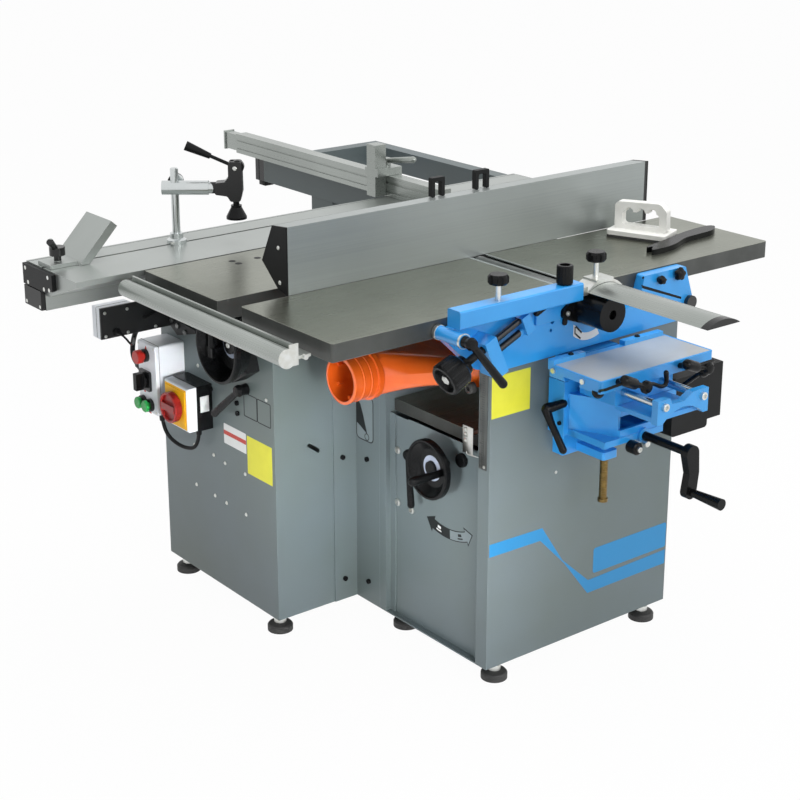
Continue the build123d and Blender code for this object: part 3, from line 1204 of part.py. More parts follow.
# Push block: sole and a loop handle with three finger grooves
block_at = (632, 206)
block_turn = -68
heading = math.radians(block_turn)
rest = Plane(origin=(x0 + block_at[0], y0 + block_at[1], table_top),
             x_dir=(math.cos(heading), math.sin(heading), 0))
upright = Plane(origin=rest.origin, x_dir=rest.x_dir, z_dir=rest.x_dir.cross(Vector(0, 0, 1)))
with BuildPart() as push_block:
    with BuildSketch(rest):
        RectangleRounded(142, 84, 8)
    extrude(amount=16)
    with BuildSketch(upright):
        with BuildLine():
            FilletPolyline((-63, 14), (-63, 78), (46, 82), (62, 66), (64, 14), radius=12, close=True)
        make_face()
        with BuildLine():
            FilletPolyline((-45, 26), (-45, 56), (44, 58), (46, 26), radius=8, close=True)
        make_face(mode=Mode.SUBTRACT)
        with Locations((-28, 56), (0, 57), (28, 58)):
            Circle(10, mode=Mode.SUBTRACT)
    extrude(amount=12, both=True)
push_block.part.label = "push_block"
export_step(push_block.part, "parts/push_block.step")

# Push stick with its notched nose, lying on the outfeed table
with BuildPart() as push_stick:
    with BuildSketch(plan(table_top)):
        with BuildLine():
            FilletPolyline((534, 80), (548, 74), (640, 92), (770, 112), (800, 132), (792, 150), (742, 146),
                           (640, 120), (545, 104), (534, 98), (546, 90), radius=3, close=True)
        make_face()
    extrude(amount=12)
push_stick.part.label = "push_stick"
export_step(push_stick.part, "parts/push_stick.step")
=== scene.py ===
import bpy
import bmesh
import math
from mathutils import Matrix, Vector


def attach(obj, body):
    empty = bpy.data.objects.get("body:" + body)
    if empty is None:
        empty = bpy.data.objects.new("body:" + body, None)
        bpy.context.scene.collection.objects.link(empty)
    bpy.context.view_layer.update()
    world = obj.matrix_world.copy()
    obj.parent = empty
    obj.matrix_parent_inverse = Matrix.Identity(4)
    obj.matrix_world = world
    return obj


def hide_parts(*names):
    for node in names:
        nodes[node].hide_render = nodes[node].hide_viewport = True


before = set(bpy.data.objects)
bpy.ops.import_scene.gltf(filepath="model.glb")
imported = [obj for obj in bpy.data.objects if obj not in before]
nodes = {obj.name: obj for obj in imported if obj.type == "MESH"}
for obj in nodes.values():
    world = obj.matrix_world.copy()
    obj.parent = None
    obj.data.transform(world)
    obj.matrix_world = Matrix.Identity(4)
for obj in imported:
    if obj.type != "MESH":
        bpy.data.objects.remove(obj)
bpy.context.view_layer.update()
scene = bpy.context.scene
print("frame loaded:", len(nodes), "nodes")

# places are in mm from the planer cabinet's front left corner, as on the drawing
corner = (141.0, 625.5)


def spot(x, y, z):
    return Vector((x - corner[0], y - corner[1], z)) / 1000.0


def addObject(name, data):
    item = bpy.data.objects.new(name, data)
    scene.collection.objects.link(item)
    return item


def setAll(thing, **values):
    for key, value in values.items():
        setattr(thing, key, value)


# the camera that was solved from the photo
camera = dict(azimuth=-38.192, elevation=17.979, place=(-2124.1, -2406.1, 1820.4),
              optics=dict(lens=76.41, sensor_width=36.0, shift_y=-0.075, clip_end=60.0))
eye = addObject("camera", bpy.data.cameras.new("camera"))
setAll(eye.data, **camera["optics"])
eye.location = spot(*camera["place"])
eye.rotation_euler = (math.radians(90 - camera["elevation"]), 0, math.radians(camera["azimuth"]))
scene.camera = eye
scene.view_settings.view_transform = "Standard"
print("camera set")


def linear(hexCode):
    parts = [int(hexCode[i:i + 2], 16) / 255 for i in (0, 2, 4)]
    return tuple(c / 12.92 if c <= 0.04045 else ((c + 0.055) / 1.055) ** 2.4 for c in parts) + (1.0,)


# adds a node; each input, by name or index, is set, or linked to a socket or a node
def addNode(tree, kind, inputs=None, **settings):
    node = tree.nodes.new(kind)
    setAll(node, **settings)
    for key, value in (inputs or {}).items():
        value = value.outputs[0] if isinstance(value, bpy.types.Node) else value
        if isinstance(value, bpy.types.NodeSocket):
            tree.links.new(value, node.inputs[key])
        else:
            node.inputs[key].default_value = value
    return node


def addMath(tree, operation, first, second):
    return addNode(tree, "ShaderNodeMath", {0: first, 1: second}, operation=operation)


def mixColours(tree, share, first, second, blend="MIX"):
    mixed = addNode(tree, "ShaderNodeMix", {0: share, 6: first, 7: second}, data_type="RGBA", blend_type=blend)
    return mixed.outputs[2]


def mapRange(tree, value, low, high, toLow=0.0, toHigh=1.0):
    return addNode(tree, "ShaderNodeMapRange", {
        "Value": value, "From Min": low, "From Max": high, "To Min": toLow, "To Max": toHigh})


def addNoise(tree, vector, scale, detail, **inputs):
    return addNode(tree, "ShaderNodeTexNoise", {"Vector": vector, "Scale": scale, "Detail": detail, **inputs})


# an empty node tree for a material or a world
def clearTree(owner):
    owner.use_nodes = True
    owner.node_tree.nodes.clear()
    return owner.node_tree


# a finish: colour and shade are mixed by a slow cloud, wear shows on rubbed edges (none: crisp edges),
# lines are brush or grinding marks (axis, length, gap, contrast), grain is fine relief; sizes in mm
def surface(colour, shade, cloud, rough, wear=None, **more):
    usual = dict(spread=0.05, relief=0.004, edge=1.0, rub=0.4, metal=0.0, coat=0.0, shine=0.5)
    return dict(usual, colour=colour, shade=shade, cloud=cloud, rough=rough, wear=wear, **more)


# what powder coats, extrusions and printed vinyls share
powder = dict(spread=0.08, grain=2.4, relief=0.012, edge=1.6, rub=0.5)
extruded = dict(spread=0.03, relief=0.0004, edge=0.8, rub=0.6, metal=0.75)
printed = dict(spread=0.04, grain=2.4, edge=0.2, rub=0.2)
finishes = dict(
    # textured powder coat on folded sheet: soft even sheen with a fine orange peel
    greyPowderCoat=surface("6b777b", "66716f", 420, 0.40, "8b9799", **powder),
    # the same coat on the outrigger's tube, darkened as painted shade
    shadedPowderCoat=surface("555f62", "505a59", 420, 0.42, "7a8587", **powder),
    # ground cast iron: fine grinding lines along the feed, faint oily tint
    groundCastIron=surface("8b8e82", "808377", 190, 0.30, "b4b5ae", spread=0.12, lines=(0, 160, 1.4, 0.045),
        relief=0.0015, edge=1.2, rub=0.6, metal=0.9),
    # planed side faces of the same castings: duller and darker
    castIronSides=surface("535553", "4a4c4a", 60, 0.46, "a0a29d", spread=0.10, grain=1.5, relief=0.008, edge=1.6,
        rub=0.8, metal=0.6),
    # gloss stoved enamel over a smooth casting: even colour under a clear shine
    blueEnamel=surface("2f9ce6", "2a95df", 120, 0.30, "62b0ea", grain=5.0, relief=0.010, edge=1.6, rub=0.5, coat=0.4),
    # injection moulded ABS in signal orange, shiny with a faint flow mottling
    orangeAbs=surface("e56620", "dc5b19", 110, 0.18, "f08a52", grain=7.0, relief=0.012, edge=1.8, rub=0.3, coat=0.7,
        shine=0.4),
    # moulded phenolic and nylon hand parts: satin black with a fine spark-eroded grain
    blackPhenolic=surface("0c0d0e", "111213", 25, 0.26, "2a2b2c", spread=0.08, grain=0.8, relief=0.006,
        shine=0.18),
    # black painted or oxidised sheet, flatter than the plastic
    blackPaint=surface("101112", "151617", 80, 0.46, "2b2d2e", spread=0.08, grain=1.6, relief=0.010, shine=0.2),
    # satin anodised extrusion: long pale drawing lines along X
    anodisedAlongX=surface("a8adaa", "9ea3a0", 300, 0.32, "cfd2cf", lines=(0, 500, 1.8, 0.025), **extruded),
    # the same drawn along Y
    anodisedAlongY=surface("a3a8a4", "989d99", 300, 0.28, "cfd2cf", lines=(1, 500, 1.8, 0.025), **extruded),
    # milled fence face: the same alloy, a shade cooler, with a soft broad sheen
    fenceAluminium=surface("9aa09f", "939997", 360, 0.36, "c9cdca", spread=0.06, lines=(0, 700, 2.2, 0.04),
        relief=0.001, edge=0.8, rub=0.6, metal=0.55),
    # milled top of the mortiser table: pale, flat and evenly dull
    milledSteel=surface("bec0c0", "b5b7b8", 150, 0.48, "b4b8ba", spread=0.06, lines=(0, 120, 1.6, 0.04),
        relief=0.001, edge=0.8, rub=0.5, metal=0.35),
    # chromed bar: bright satin with hardly a streak
    chromedSteel=surface("d2d6d6", "cbd0d0", 60, 0.24, spread=0.02, grain=3.0, relief=0.0, metal=1.0),
    # zinc plated steel: pale grey with a clouded passivation
    zincPlated=surface("dfe1df", "d2d3cd", 14, 0.34, spread=0.08, grain=1.2, relief=0.0, metal=1.0),
    # etched steel rule: dark satin strip
    ruleSteel=surface("666967", "5b5e5d", 40, 0.30, "9a9c9a", spread=0.08, lines=(2, 200, 1.6, 0.05),
        relief=0.0008, edge=0.6, rub=0.5, metal=0.8),
    # turned and ground steel, darker and oilier
    turnedSteel=surface("8f9190", "7f8180", 30, 0.28, spread=0.12, lines=(1, 30, 0.8, 0.10), relief=0.0015,
        metal=1.0),
    # drawn brass of the rising screw, dulled by oil
    dullBrass=surface("8a7240", "6f5a31", 12, 0.34, "b79a5c", spread=0.12, grain=1.0, edge=0.5, rub=0.6,
        metal=1.0),
    # light grey polycarbonate of the electrical boxes: even satin moulding
    greyPolycarbonate=surface("e6eaef", "e0e4ea", 60, 0.34, "e4e7eb", spread=0.06, grain=0.9, edge=1.6),
    # white moulded push block, slightly rubbed
    whiteAbs=surface("ecece8", "e3e3de", 40, 0.38, "f2f2ef", spread=0.06, grain=1.0, relief=0.006, edge=2.0),
    # switch colours, moulded nylon
    redNylon=surface("b0251d", "a52019", 20, 0.30, "c6493f", grain=0.9, edge=1.4),
    crimsonNylon=surface("951f1d", "8a1b19", 25, 0.26, "b0423c", grain=0.9, edge=1.4),
    yellowNylon=surface("f5bd22", "edb41d", 25, 0.34, "f6bd52", grain=0.9),
    greenNylon=surface("1f9c46", "1b903f", 12, 0.28, "46b566", grain=0.9),
    # soft PVC sheath of the leads: satin black
    blackPvc=surface("0f1011", "141516", 30, 0.44, "262728", spread=0.08, grain=0.8, relief=0.006, rub=0.3,
        shine=0.2),
    # rubber of the feet and soles: dull, dusty
    blackRubber=surface("343434", "3c3c3b", 18, 0.62, "464645", spread=0.10, grain=0.7, relief=0.012, edge=1.6),
    # pale blue grey moulded trim rings of the handwheels
    paleNylon=surface("aeb8cb", "a6b0c3", 20, 0.40, "c3cbda", grain=0.8, edge=0.6, rub=0.3),
    # printed vinyl on the sheet metal: flat clean colour with a soft gloss
    blueVinyl=surface("2088c2", "1e85bf", 200, 0.34, "4fabe6", **printed),
    whiteVinyl=surface("e8eaea", "e1e3e2", 60, 0.36, "efefef", **printed),
    yellowVinyl=surface("e6e23c", "e0dc37", 50, 0.38, "ece964", **printed),
    redVinyl=surface("c63a2d", "be3529", 50, 0.38, "d25a4e", **printed),
    blackVinyl=surface("1f2223", "242728", 50, 0.40, "333738", shine=0.2, **printed),
    greyVinyl=surface("7f8b8f", "7a8689", 50, 0.40, "8d999c", **printed),
)


# a rounding of the edges that only the light sees
def roundEdges(tree, recipe):
    return addNode(tree, "ShaderNodeBevel", {"Radius": recipe["edge"] / 1000}, samples=4)


# colour, roughness, relief and metal of one finish, as nodes or numbers
def finishLayers(tree, coords, recipe):
    cloud = addNoise(tree, coords, 1000 / recipe["cloud"], 3.0, Roughness=0.55)
    cloudMask = mapRange(tree, cloud, 0.35, 0.65)
    colour = mixColours(tree, cloudMask, linear(recipe["colour"]), linear(recipe["shade"]))
    if "lines" in recipe:
        axis, length, gap, contrast = recipe["lines"]
        scale = [1000 / gap] * 3
        scale[axis] = 1000 / length
        drawn = addNode(tree, "ShaderNodeMapping", {"Vector": coords, "Scale": scale})
        fine = addNoise(tree, drawn, 1.0, 4.0)
        streaks = mapRange(tree, fine, 0.3, 0.7, 1 - contrast, 1 + contrast)
        colour = mixColours(tree, 1.0, colour, streaks, "MULTIPLY")
    else:
        fine = addNoise(tree, coords, 1000 / recipe["grain"], 2.0)
    if recipe["wear"]:
        face = addNode(tree, "ShaderNodeNewGeometry")
        turn = addNode(tree, "ShaderNodeVectorMath", {
            0: roundEdges(tree, recipe), 1: face.outputs["Normal"]}, operation="DOT_PRODUCT")
        rubbed = mapRange(tree, turn.outputs["Value"], 0.985, 0.86, 0.0, recipe["rub"])
        colour = mixColours(tree, rubbed, colour, linear(recipe["wear"]))
    half = recipe["spread"] / 2
    rough = mapRange(tree, fine, 0.25, 0.75, recipe["rough"] - half, recipe["rough"] + half)
    relief = addMath(tree, "MULTIPLY", fine, recipe["relief"] / 1000)
    return dict(colour=colour, rough=rough, relief=relief, metal=recipe["metal"])


# 1 inside a zone: in one of its discs, or in its box, which is open on an axis given as None
def zoneMask(tree, coords, zone):
    mask = None
    for centre in zone["discs"]:
        away = addNode(tree, "ShaderNodeVectorMath", {0: coords, 1: spot(*centre)}, operation="DISTANCE")
        inside = addMath(tree, "LESS_THAN", away.outputs["Value"], zone["radius"] / 1000)
        mask = inside if mask is None else addMath(tree, "MAXIMUM", mask, inside)
    apart = addNode(tree, "ShaderNodeSeparateXYZ", {0: coords})
    for axis, limits in enumerate(zone["box"]):
        if limits is None:
            continue
        low, high = (spot(limit, limit, limit)[axis] for limit in limits)
        inside = addNode(tree, "ShaderNodeMath", {
            0: apart.outputs[axis], 1: (low + high) / 2, 2: (high - low) / 2}, operation="COMPARE")
        mask = inside if mask is None else addMath(tree, "MULTIPLY", mask, inside)
    return mask


madeMaterials = {}


# a material of one finish, or of several that meet at the edges of zones
def materialOf(base, zones=()):
    key = base + "".join(f"{z['finish']}{z['box']}{z['discs']}" for z in zones)
    if key in madeMaterials:
        return madeMaterials[key]
    made = bpy.data.materials.new(base + "".join("And" + z["finish"][0].upper() + z["finish"][1:] for z in zones[:1]))
    tree = clearTree(made)
    coords = addNode(tree, "ShaderNodeTexCoord").outputs["Object"]
    recipe = finishes[base]
    layers = finishLayers(tree, coords, recipe)
    for zone in zones:
        mask = zoneMask(tree, coords, zone)
        other = finishLayers(tree, coords, finishes[zone["finish"]])
        layers["colour"] = mixColours(tree, mask, layers["colour"], other["colour"])
        for part in ("rough", "relief", "metal"):
            if part == "metal" and layers[part] == other[part]:
                continue
            layers[part] = addNode(tree, "ShaderNodeMix", {0: mask, 2: layers[part], 3: other[part]})
    bumps = {"Strength": 0.6, "Distance": 1.0, "Height": layers["relief"]}
    if recipe["wear"]:
        bumps["Normal"] = roundEdges(tree, recipe)
    bump = addNode(tree, "ShaderNodeBump", bumps)
    shader = addNode(tree, "ShaderNodeBsdfPrincipled", {
        "Base Color": layers["colour"], "Roughness": layers["rough"], "Metallic": layers["metal"], "Normal": bump,
        "Coat Weight": recipe["coat"], "Coat Roughness": 0.12, "Specular IOR Level": recipe["shine"]})
    addNode(tree, "ShaderNodeOutputMaterial", {"Surface": shader})
    madeMaterials[key] = made
    return made


# a box, or discs for screws let in flush, in which another finish shows
def zone(finish, x=None, y=None, z=None, discs=(), radius=0):
    return dict(finish=finish, box=(x, y, z), discs=discs, radius=radius)


# CAD nodes of a single finish
plainNodes = dict(
    greyPowderCoat=("planer_cabinet", "thickness_panel", "link_angle"), turnedSteel=("cutterblock", "saw_blade"),
    castIronSides=("saw_arbor", "planer_motor", "fence_bracket"), blueEnamel=("guard_beam", "mortise_saddle"),
    blackPhenolic=("depth_knob", "infeed_lever", "chuck_guard", "thickness_wheel", "bed_lock_lever", "mortise_crank",
        "saddle_lever", "clamp_lever", "clamp_pad", "saw_wheel", "saw_lock_lever", "selector_knob", "push_stick"),
    blackPaint=("fence_end_caps", "slide_cover"), zincPlated=("guard_clamp",), orangeAbs=("chip_hood",),
    anodisedAlongX=("slide_carriage",), anodisedAlongY=("crosscut_fence", "fence_extension", "flip_stop"),
    chromedSteel=("clamp_column",), blackRubber=("cables",), redNylon=("stop_button",), crimsonNylon=("main_knob",),
    greenNylon=("start_button_left", "start_button_right"))
nodeFinish = {name: (finish,) for finish, names in plainNodes.items() for name in names}

# CAD nodes with zones of another finish
groundTop = zone("groundCastIron", z=(849.5, 851))
nodeFinish.update(
    saw_cabinet=("greyPowderCoat", zone("blackPaint", x=(-252, -217.1), y=(505, 608), z=(585, 745))),
    # the outrigger's tube takes the grey coat darkened as painted shade
    outrigger_frame=("shadedPowderCoat", zone("blackPhenolic", x=(420, 476), y=(1446, 1487))),
    levelling_feet=("blackRubber", zone("zincPlated", z=(20.5, 46))),
    infeed_table=("castIronSides", groundTop, zone("chromedSteel", x=(200, 209), z=(846, 851))),
    outfeed_table=("castIronSides", groundTop, zone("chromedSteel", x=(247, 252), z=(846, 851))),
    saw_table=("castIronSides", groundTop, zone("anodisedAlongX", x=(-80, 280), y=(606, 646), z=(845, 851))),
    thickness_bed=("castIronSides", zone("groundCastIron", z=(554.5, 556))),
    side_casting=("blueEnamel", zone("blackPhenolic", x=(-36, 36), y=(-49, -31), z=(760, 830)),
        zone("blackPhenolic", x=(438, 458), y=(-30, -24.1), z=(820, 845)),
        zone("blackPhenolic", x=(493, 513), y=(-30, -24.1), z=(824, 850)),
        zone("blackPhenolic", x=(528, 562), y=(-36, -24.1), z=(748, 782))),
    mortise_slideway=("blueEnamel", zone("dullBrass", x=(222, 246), y=(-106, -82), z=(403, 503.9))),
    mortise_knee=("blueEnamel", zone("chromedSteel", x=(197, 217), y=(-261.9, -52.1), z=(662, 682)),
        zone("chromedSteel", x=(306, 326), y=(-261.9, -52.1), z=(662, 682))),
    mortise_table=("blueEnamel", zone("milledSteel", x=(118, 433), y=(-190, -61.2), z=(719.5, 720.5))),
    guard_knobs=("blackPhenolic", zone("zincPlated", x=(-35, -19), z=(880, 911.5)),
        zone("zincPlated", x=(235, 251), z=(877, 910.5))),
    bridge_guard=("anodisedAlongY", zone("blackPhenolic", y=(-381, -362))),
    planer_fence=("fenceAluminium", zone("blackPaint", x=(740, 760))),
    rip_rail=("anodisedAlongY", zone("zincPlated", y=(30, 45.1))),
    slide_beam=("anodisedAlongX", zone("blackPaint", x=(-580, -564.9)), zone("blackPaint", x=(846.9, 860)),
        zone("zincPlated", discs=((-575, 812, 763), (-575, 874, 763)), radius=4)),
    carriage_end_plates=("blackPaint", zone("zincPlated", radius=4.5, discs=(
        (-575, 872, 838), (-575, 768, 838), (-575, 764, 811), (-575, 788, 808), (-575, 862, 808)))),
    clamp_arm=("chromedSteel", zone("blackPhenolic", x=(-172, -88)),
        zone("blackPhenolic", x=(-242, -190), y=(822, 862), z=(967, 1007))),
    edge_shoe=("anodisedAlongX", zone("blackPhenolic", x=(-570, -500), z=(860, 912))),
    control_box=("greyPolycarbonate", zone("blackPhenolic", x=(-305, -293.1))),
    main_switch=("blackPhenolic", zone("greyPolycarbonate", x=(-282.1, -257)), zone("yellowNylon", x=(-285, -281.9))),
    junction_box=("greyPolycarbonate", zone("blackPaint", y=(869, 875.1)), zone("blackPaint", x=(-226, -216))),
    push_block=("whiteAbs", zone("blackRubber", z=(849, 856))))
for name, (base, *zones) in nodeFinish.items():
    slots = nodes[name].data.materials
    slots.clear()
    slots.append(materialOf(base, zones))
print("finishes on", len(nodeFinish), "nodes,", len(madeMaterials), "materials")


crease = math.radians(32)


# a finished mesh becomes a piece that rides on a body
def finishPiece(name, mesh, body):
    mesh.shade_smooth()
    mesh.set_sharp_from_angle(angle=crease)
    piece = addObject(name, mesh)
    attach(piece, body)
    return piece


# a piece in one finish, made in steps, each a shape function and what it is given
def build(name, finish, *steps, body="machine_frame", slot=None):
    shape = bmesh.new()
    for make, *given in steps:
        make(shape, *given)
    bmesh.ops.remove_doubles(shape, verts=shape.verts, dist=1e-6)
    bmesh.ops.recalc_face_normals(shape, faces=shape.faces)
    mesh = bpy.data.meshes.new(name)
    shape.to_mesh(mesh)
    shape.free()
    mesh.materials.append(materialOf(finish))
    return finishPiece(name, mesh, body)


# skins neighbouring rings; a ring of one point closes to a tip
def joinRings(shape, rings, sides):
    for near, far in zip(rings, rings[1:]):
        for k in range(sides):
            after = (k + 1) % sides
            corners = [near[k % len(near)], near[after % len(near)], far[after % len(far)], far[k % len(far)]]
            corners = list(dict.fromkeys(corners))
            if len(corners) > 2:
                shape.faces.new(corners)


# swings (radius, height) pairs about an axis through base, with lobes for hand knobs
def addTurned(shape, outline, base, axis, sides=28, lobes=0, lobe=0.13):
    axis = Vector(axis).normalized()
    across = axis.orthogonal().normalized()
    other = axis.cross(across)
    rings = []
    for radius, height in outline:
        centre = spot(*base) + axis * height / 1000
        angles = [2 * math.pi * k / sides for k in range(sides)] if radius else [0.0]
        rings.append([shape.verts.new(
            centre + (across * math.cos(a) + other * math.sin(a)) * radius / 1000
            * (1 + lobe * math.cos(lobes * a) if lobes else 1)) for a in angles])
    joinRings(shape, rings, sides)


# a washer or trim ring
def addRing(shape, base, axis, inner, outer, thick, sides=32):
    lip = min(0.5, thick / 3)
    addTurned(shape, [(inner, 0), (outer, 0), (outer, thick - lip), (outer - lip, thick), (inner, thick), (inner, 0)],
              base, axis, sides)


# a point on the smooth line between b and c, with a and d as the neighbours
def between(a, b, c, d, t):
    return 0.5 * ((2 * b) + (c - a) * t + (2 * a - 5 * b + 4 * c - d) * t * t + (3 * b - a - 3 * c + d) * t ** 3)


# a round bar through points with a radius at each, swept smoothly and domed at both ends
def addSwept(shape, points, radii, sides=16, steps=6):
    stations = [Vector((*spot(*p), r / 1000)) for p, r in zip(points, radii)]
    stations = [stations[0]] + stations + [stations[-1]]
    line = []
    for k in range(1, len(stations) - 2):
        for step in range(steps if k < len(stations) - 3 else steps + 1):
            line.append(between(*stations[k - 1:k + 3], step / steps))
    start, finish = line[0], line[-1]
    startWay = (line[0].xyz - line[1].xyz).normalized()
    finishWay = (line[-1].xyz - line[-2].xyz).normalized()
    domes = ((0.35, 0.92), (0.75, 0.62), (0.95, 0.25))
    before = [Vector((*(start.xyz + startWay * start.w * out), start.w * width)) for out, width in reversed(domes)]
    behind = [Vector((*(finish.xyz + finishWay * finish.w * out), finish.w * width)) for out, width in domes]
    line = before + line + behind
    across = startWay.orthogonal().normalized()
    rings = []
    for k, station in enumerate(line):
        way = (line[min(k + 1, len(line) - 1)].xyz - line[max(k - 1, 0)].xyz).normalized()
        across = (across - way * across.dot(way)).normalized()
        other = way.cross(across)
        angles = [2 * math.pi * j / sides for j in range(sides)]
        rings.append([shape.verts.new(station.xyz + (across * math.cos(a) + other * math.sin(a)) * station.w)
                      for a in angles])
    joinRings(shape, rings, sides)
    shape.faces.new(rings[0])
    shape.faces.new(rings[-1])


# a thin plate: an outline of (u, v) pairs on a face, raised by its thickness
def addPlate(shape, outline, face, thick, lift=0.0):
    onFace, facing = face[0], Vector(face[1]) / 1000
    low = [shape.verts.new(onFace(u, v) + facing * lift) for u, v in outline]
    high = [shape.verts.new(onFace(u, v) + facing * (lift + thick)) for u, v in outline]
    shape.faces.new(low)
    shape.faces.new(high)
    for k in range(len(outline)):
        after = (k + 1) % len(outline)
        shape.faces.new((low[k], low[after], high[after], high[k]))


# a thin frame between two outlines of the same number of points
def addFrame(shape, outer, inner, face, thick):
    for k in range(len(outer)):
        after = (k + 1) % len(outer)
        addPlate(shape, [outer[k], outer[after], inner[after], inner[k]], face, thick)


# a block with softened edges between two corners
def addBlock(shape, low, high, soften):
    corners = [shape.verts.new(spot(x, y, z)) for x in (low[0], high[0]) for y in (low[1], high[1])
               for z in (low[2], high[2])]
    faces = [shape.faces.new([corners[i] for i in side]) for side in
             ((0, 1, 3, 2), (4, 6, 7, 5), (0, 4, 5, 1), (2, 3, 7, 6), (0, 2, 6, 4), (1, 5, 7, 3))]
    edges = list(dict.fromkeys(edge for face in faces for edge in face.edges))
    bmesh.ops.bevel(shape, geom=edges, offset=soften / 1000, segments=2, affect="EDGES", profile=0.5)


# bevels the edges that turn by more than an angle
def softenEdges(shape, angle, soften):
    sharp = [edge for edge in shape.edges if len(edge.link_faces) == 2 and edge.calc_face_angle() > angle]
    bmesh.ops.bevel(shape, geom=sharp, offset=soften / 1000, segments=2, affect="EDGES", profile=0.5)


def polar(centre, radius, degrees):
    angle = math.radians(degrees)
    return (centre[0] + radius * math.cos(angle), centre[1] + radius * math.sin(angle))


def roundRect(low, high, radius, steps=4):
    corners = ((high[0] - radius, high[1] - radius, 0), (low[0] + radius, high[1] - radius, 90),
               (low[0] + radius, low[1] + radius, 180), (high[0] - radius, low[1] + radius, 270))
    return [polar((u, v), radius, start + 90 * k / steps) for u, v, start in corners for k in range(steps + 1)]


# an arrow bent round a centre, with one head or two
def bentArrow(centre, inner, outer, start, stop, head, wide, twoHeads=False, steps=14):
    way = 1 if stop > start else -1
    middle = (inner + outer) / 2
    angles = [start + (stop - start) * k / steps for k in range(steps + 1)]
    points = [(outer, a) for a in angles]
    points += [(outer + wide, stop), (middle, stop + way * head), (inner - wide, stop)]
    points += [(inner, a) for a in reversed(angles)]
    if twoHeads:
        points += [(inner - wide, start), (middle, start - way * head), (outer + wide, start)]
    return [polar(centre, radius, angle) for radius, angle in points]


# a closed outline rounded through its points
def smoothOutline(points, steps):
    rounded = []
    for k in range(len(points)):
        around = [Vector(points[(k + j) % len(points)]) for j in (-1, 0, 1, 2)]
        rounded += [between(*around, step / steps) for step in range(steps)]
    return [(p.x, p.y) for p in rounded]


# a piece grown by a node tree, on points if it has them, then turned and put in its place
def grow(name, tree, finish, settings, body="machine_frame", points=None, at=None, turn=Matrix()):
    carrier = addObject(tree.name, points or bpy.data.meshes.new(name))
    modifier = carrier.modifiers.new(tree.name, "NODES")
    modifier.node_group = tree
    sockets = {item.name: item.identifier for item in tree.interface.items_tree if item.in_out == "INPUT"}
    for label, value in {**settings, "Finish": materialOf(finish)}.items():
        modifier[sockets[label]] = value
    mesh = bpy.data.meshes.new_from_object(carrier.evaluated_get(bpy.context.evaluated_depsgraph_get()))
    carrier.modifiers.remove(modifier)
    bpy.data.objects.remove(carrier)
    if at:
        mesh.transform(Matrix.Translation(spot(*at)) @ turn)
    finishPiece(name, mesh, body)


# a tree whose inputs are numbers, others of a kind, and the finish
def newTree(name, numbers, others):
    tree = bpy.data.node_groups.new(name, "GeometryNodeTree")
    tree.interface.new_socket("Carrier", in_out="INPUT", socket_type="NodeSocketGeometry")
    for label, kind in {**dict.fromkeys(numbers, "Float"), **others, "Finish": "Material"}.items():
        tree.interface.new_socket(label, in_out="INPUT", socket_type="NodeSocket" + kind)
    tree.interface.new_socket("Result", in_out="OUTPUT", socket_type="NodeSocketGeometry")
    return tree, addNode(tree, "NodeGroupInput").outputs


def endTree(tree, instances, given):
    real = addNode(tree, "GeometryNodeRealizeInstances", {0: instances})
    coloured = addNode(tree, "GeometryNodeSetMaterial", {"Geometry": real, "Material": given["Finish"]})
    addNode(tree, "NodeGroupOutput", {0: coloured})
    return tree


# fastener heads on the carrier's points: a drum with a bevelled edge and a sunk or raised middle
headSizes = ("Head Radius", "Head Height", "Edge", "Middle Radius", "Middle Rise")
tree, given = newTree("fastenerHeads", headSizes, {"Sides": "Int", "Twist Seed": "Int"})
drum = addNode(tree, "GeometryNodeMeshCylinder", {
    "Vertices": given["Sides"], "Radius": given["Head Radius"], "Depth": given["Head Height"]}, fill_type="NGON")
lift = addNode(tree, "ShaderNodeCombineXYZ", {"Z": addMath(tree, "MULTIPLY", given["Head Height"], 0.5)})
seated = addNode(tree, "GeometryNodeTransform", {"Geometry": drum.outputs["Mesh"], "Translation": lift})
narrow = addMath(tree, "SUBTRACT", given["Head Radius"], given["Edge"])
grown, topFace = seated, drum.outputs["Top"]
for rise, width, before in (
        (given["Edge"], narrow, given["Head Radius"]), (0.0, given["Middle Radius"], narrow),
        (given["Middle Rise"], None, None)):
    pushed = addNode(tree, "GeometryNodeExtrudeMesh", {
        "Mesh": grown, "Selection": topFace, "Offset Scale": rise}, mode="FACES")
    grown, topFace = pushed.outputs["Mesh"], pushed.outputs["Top"]
    if width is not None:
        grown = addNode(tree, "GeometryNodeScaleElements", {
            "Geometry": grown, "Selection": topFace, "Scale": addMath(tree, "DIVIDE", width, before)})
facing = addNode(tree, "GeometryNodeInputNamedAttribute", {"Name": "facing"}, data_type="FLOAT_VECTOR")
headSize = addNode(tree, "GeometryNodeInputNamedAttribute", {"Name": "headSize"}, data_type="FLOAT")
aligned = addNode(tree, "FunctionNodeAlignRotationToVector", {"Vector": facing}, axis="Z")
twist = addNode(tree, "FunctionNodeRandomValue", {
    2: 0.0, 3: 2 * math.pi, "Seed": given["Twist Seed"]}, data_type="FLOAT")
ownTurn = addNode(tree, "FunctionNodeAxisAngleToRotation", {"Axis": (0.0, 0.0, 1.0), "Angle": twist.outputs[1]})
turned = addNode(tree, "FunctionNodeRotateRotation", {0: aligned, 1: ownTurn}, rotation_space="LOCAL")
spread = addNode(tree, "GeometryNodeInstanceOnPoints", {
    "Points": given["Carrier"], "Instance": grown, "Rotation": turned, "Scale": headSize})
fastenerTree = endTree(tree, spread, given)

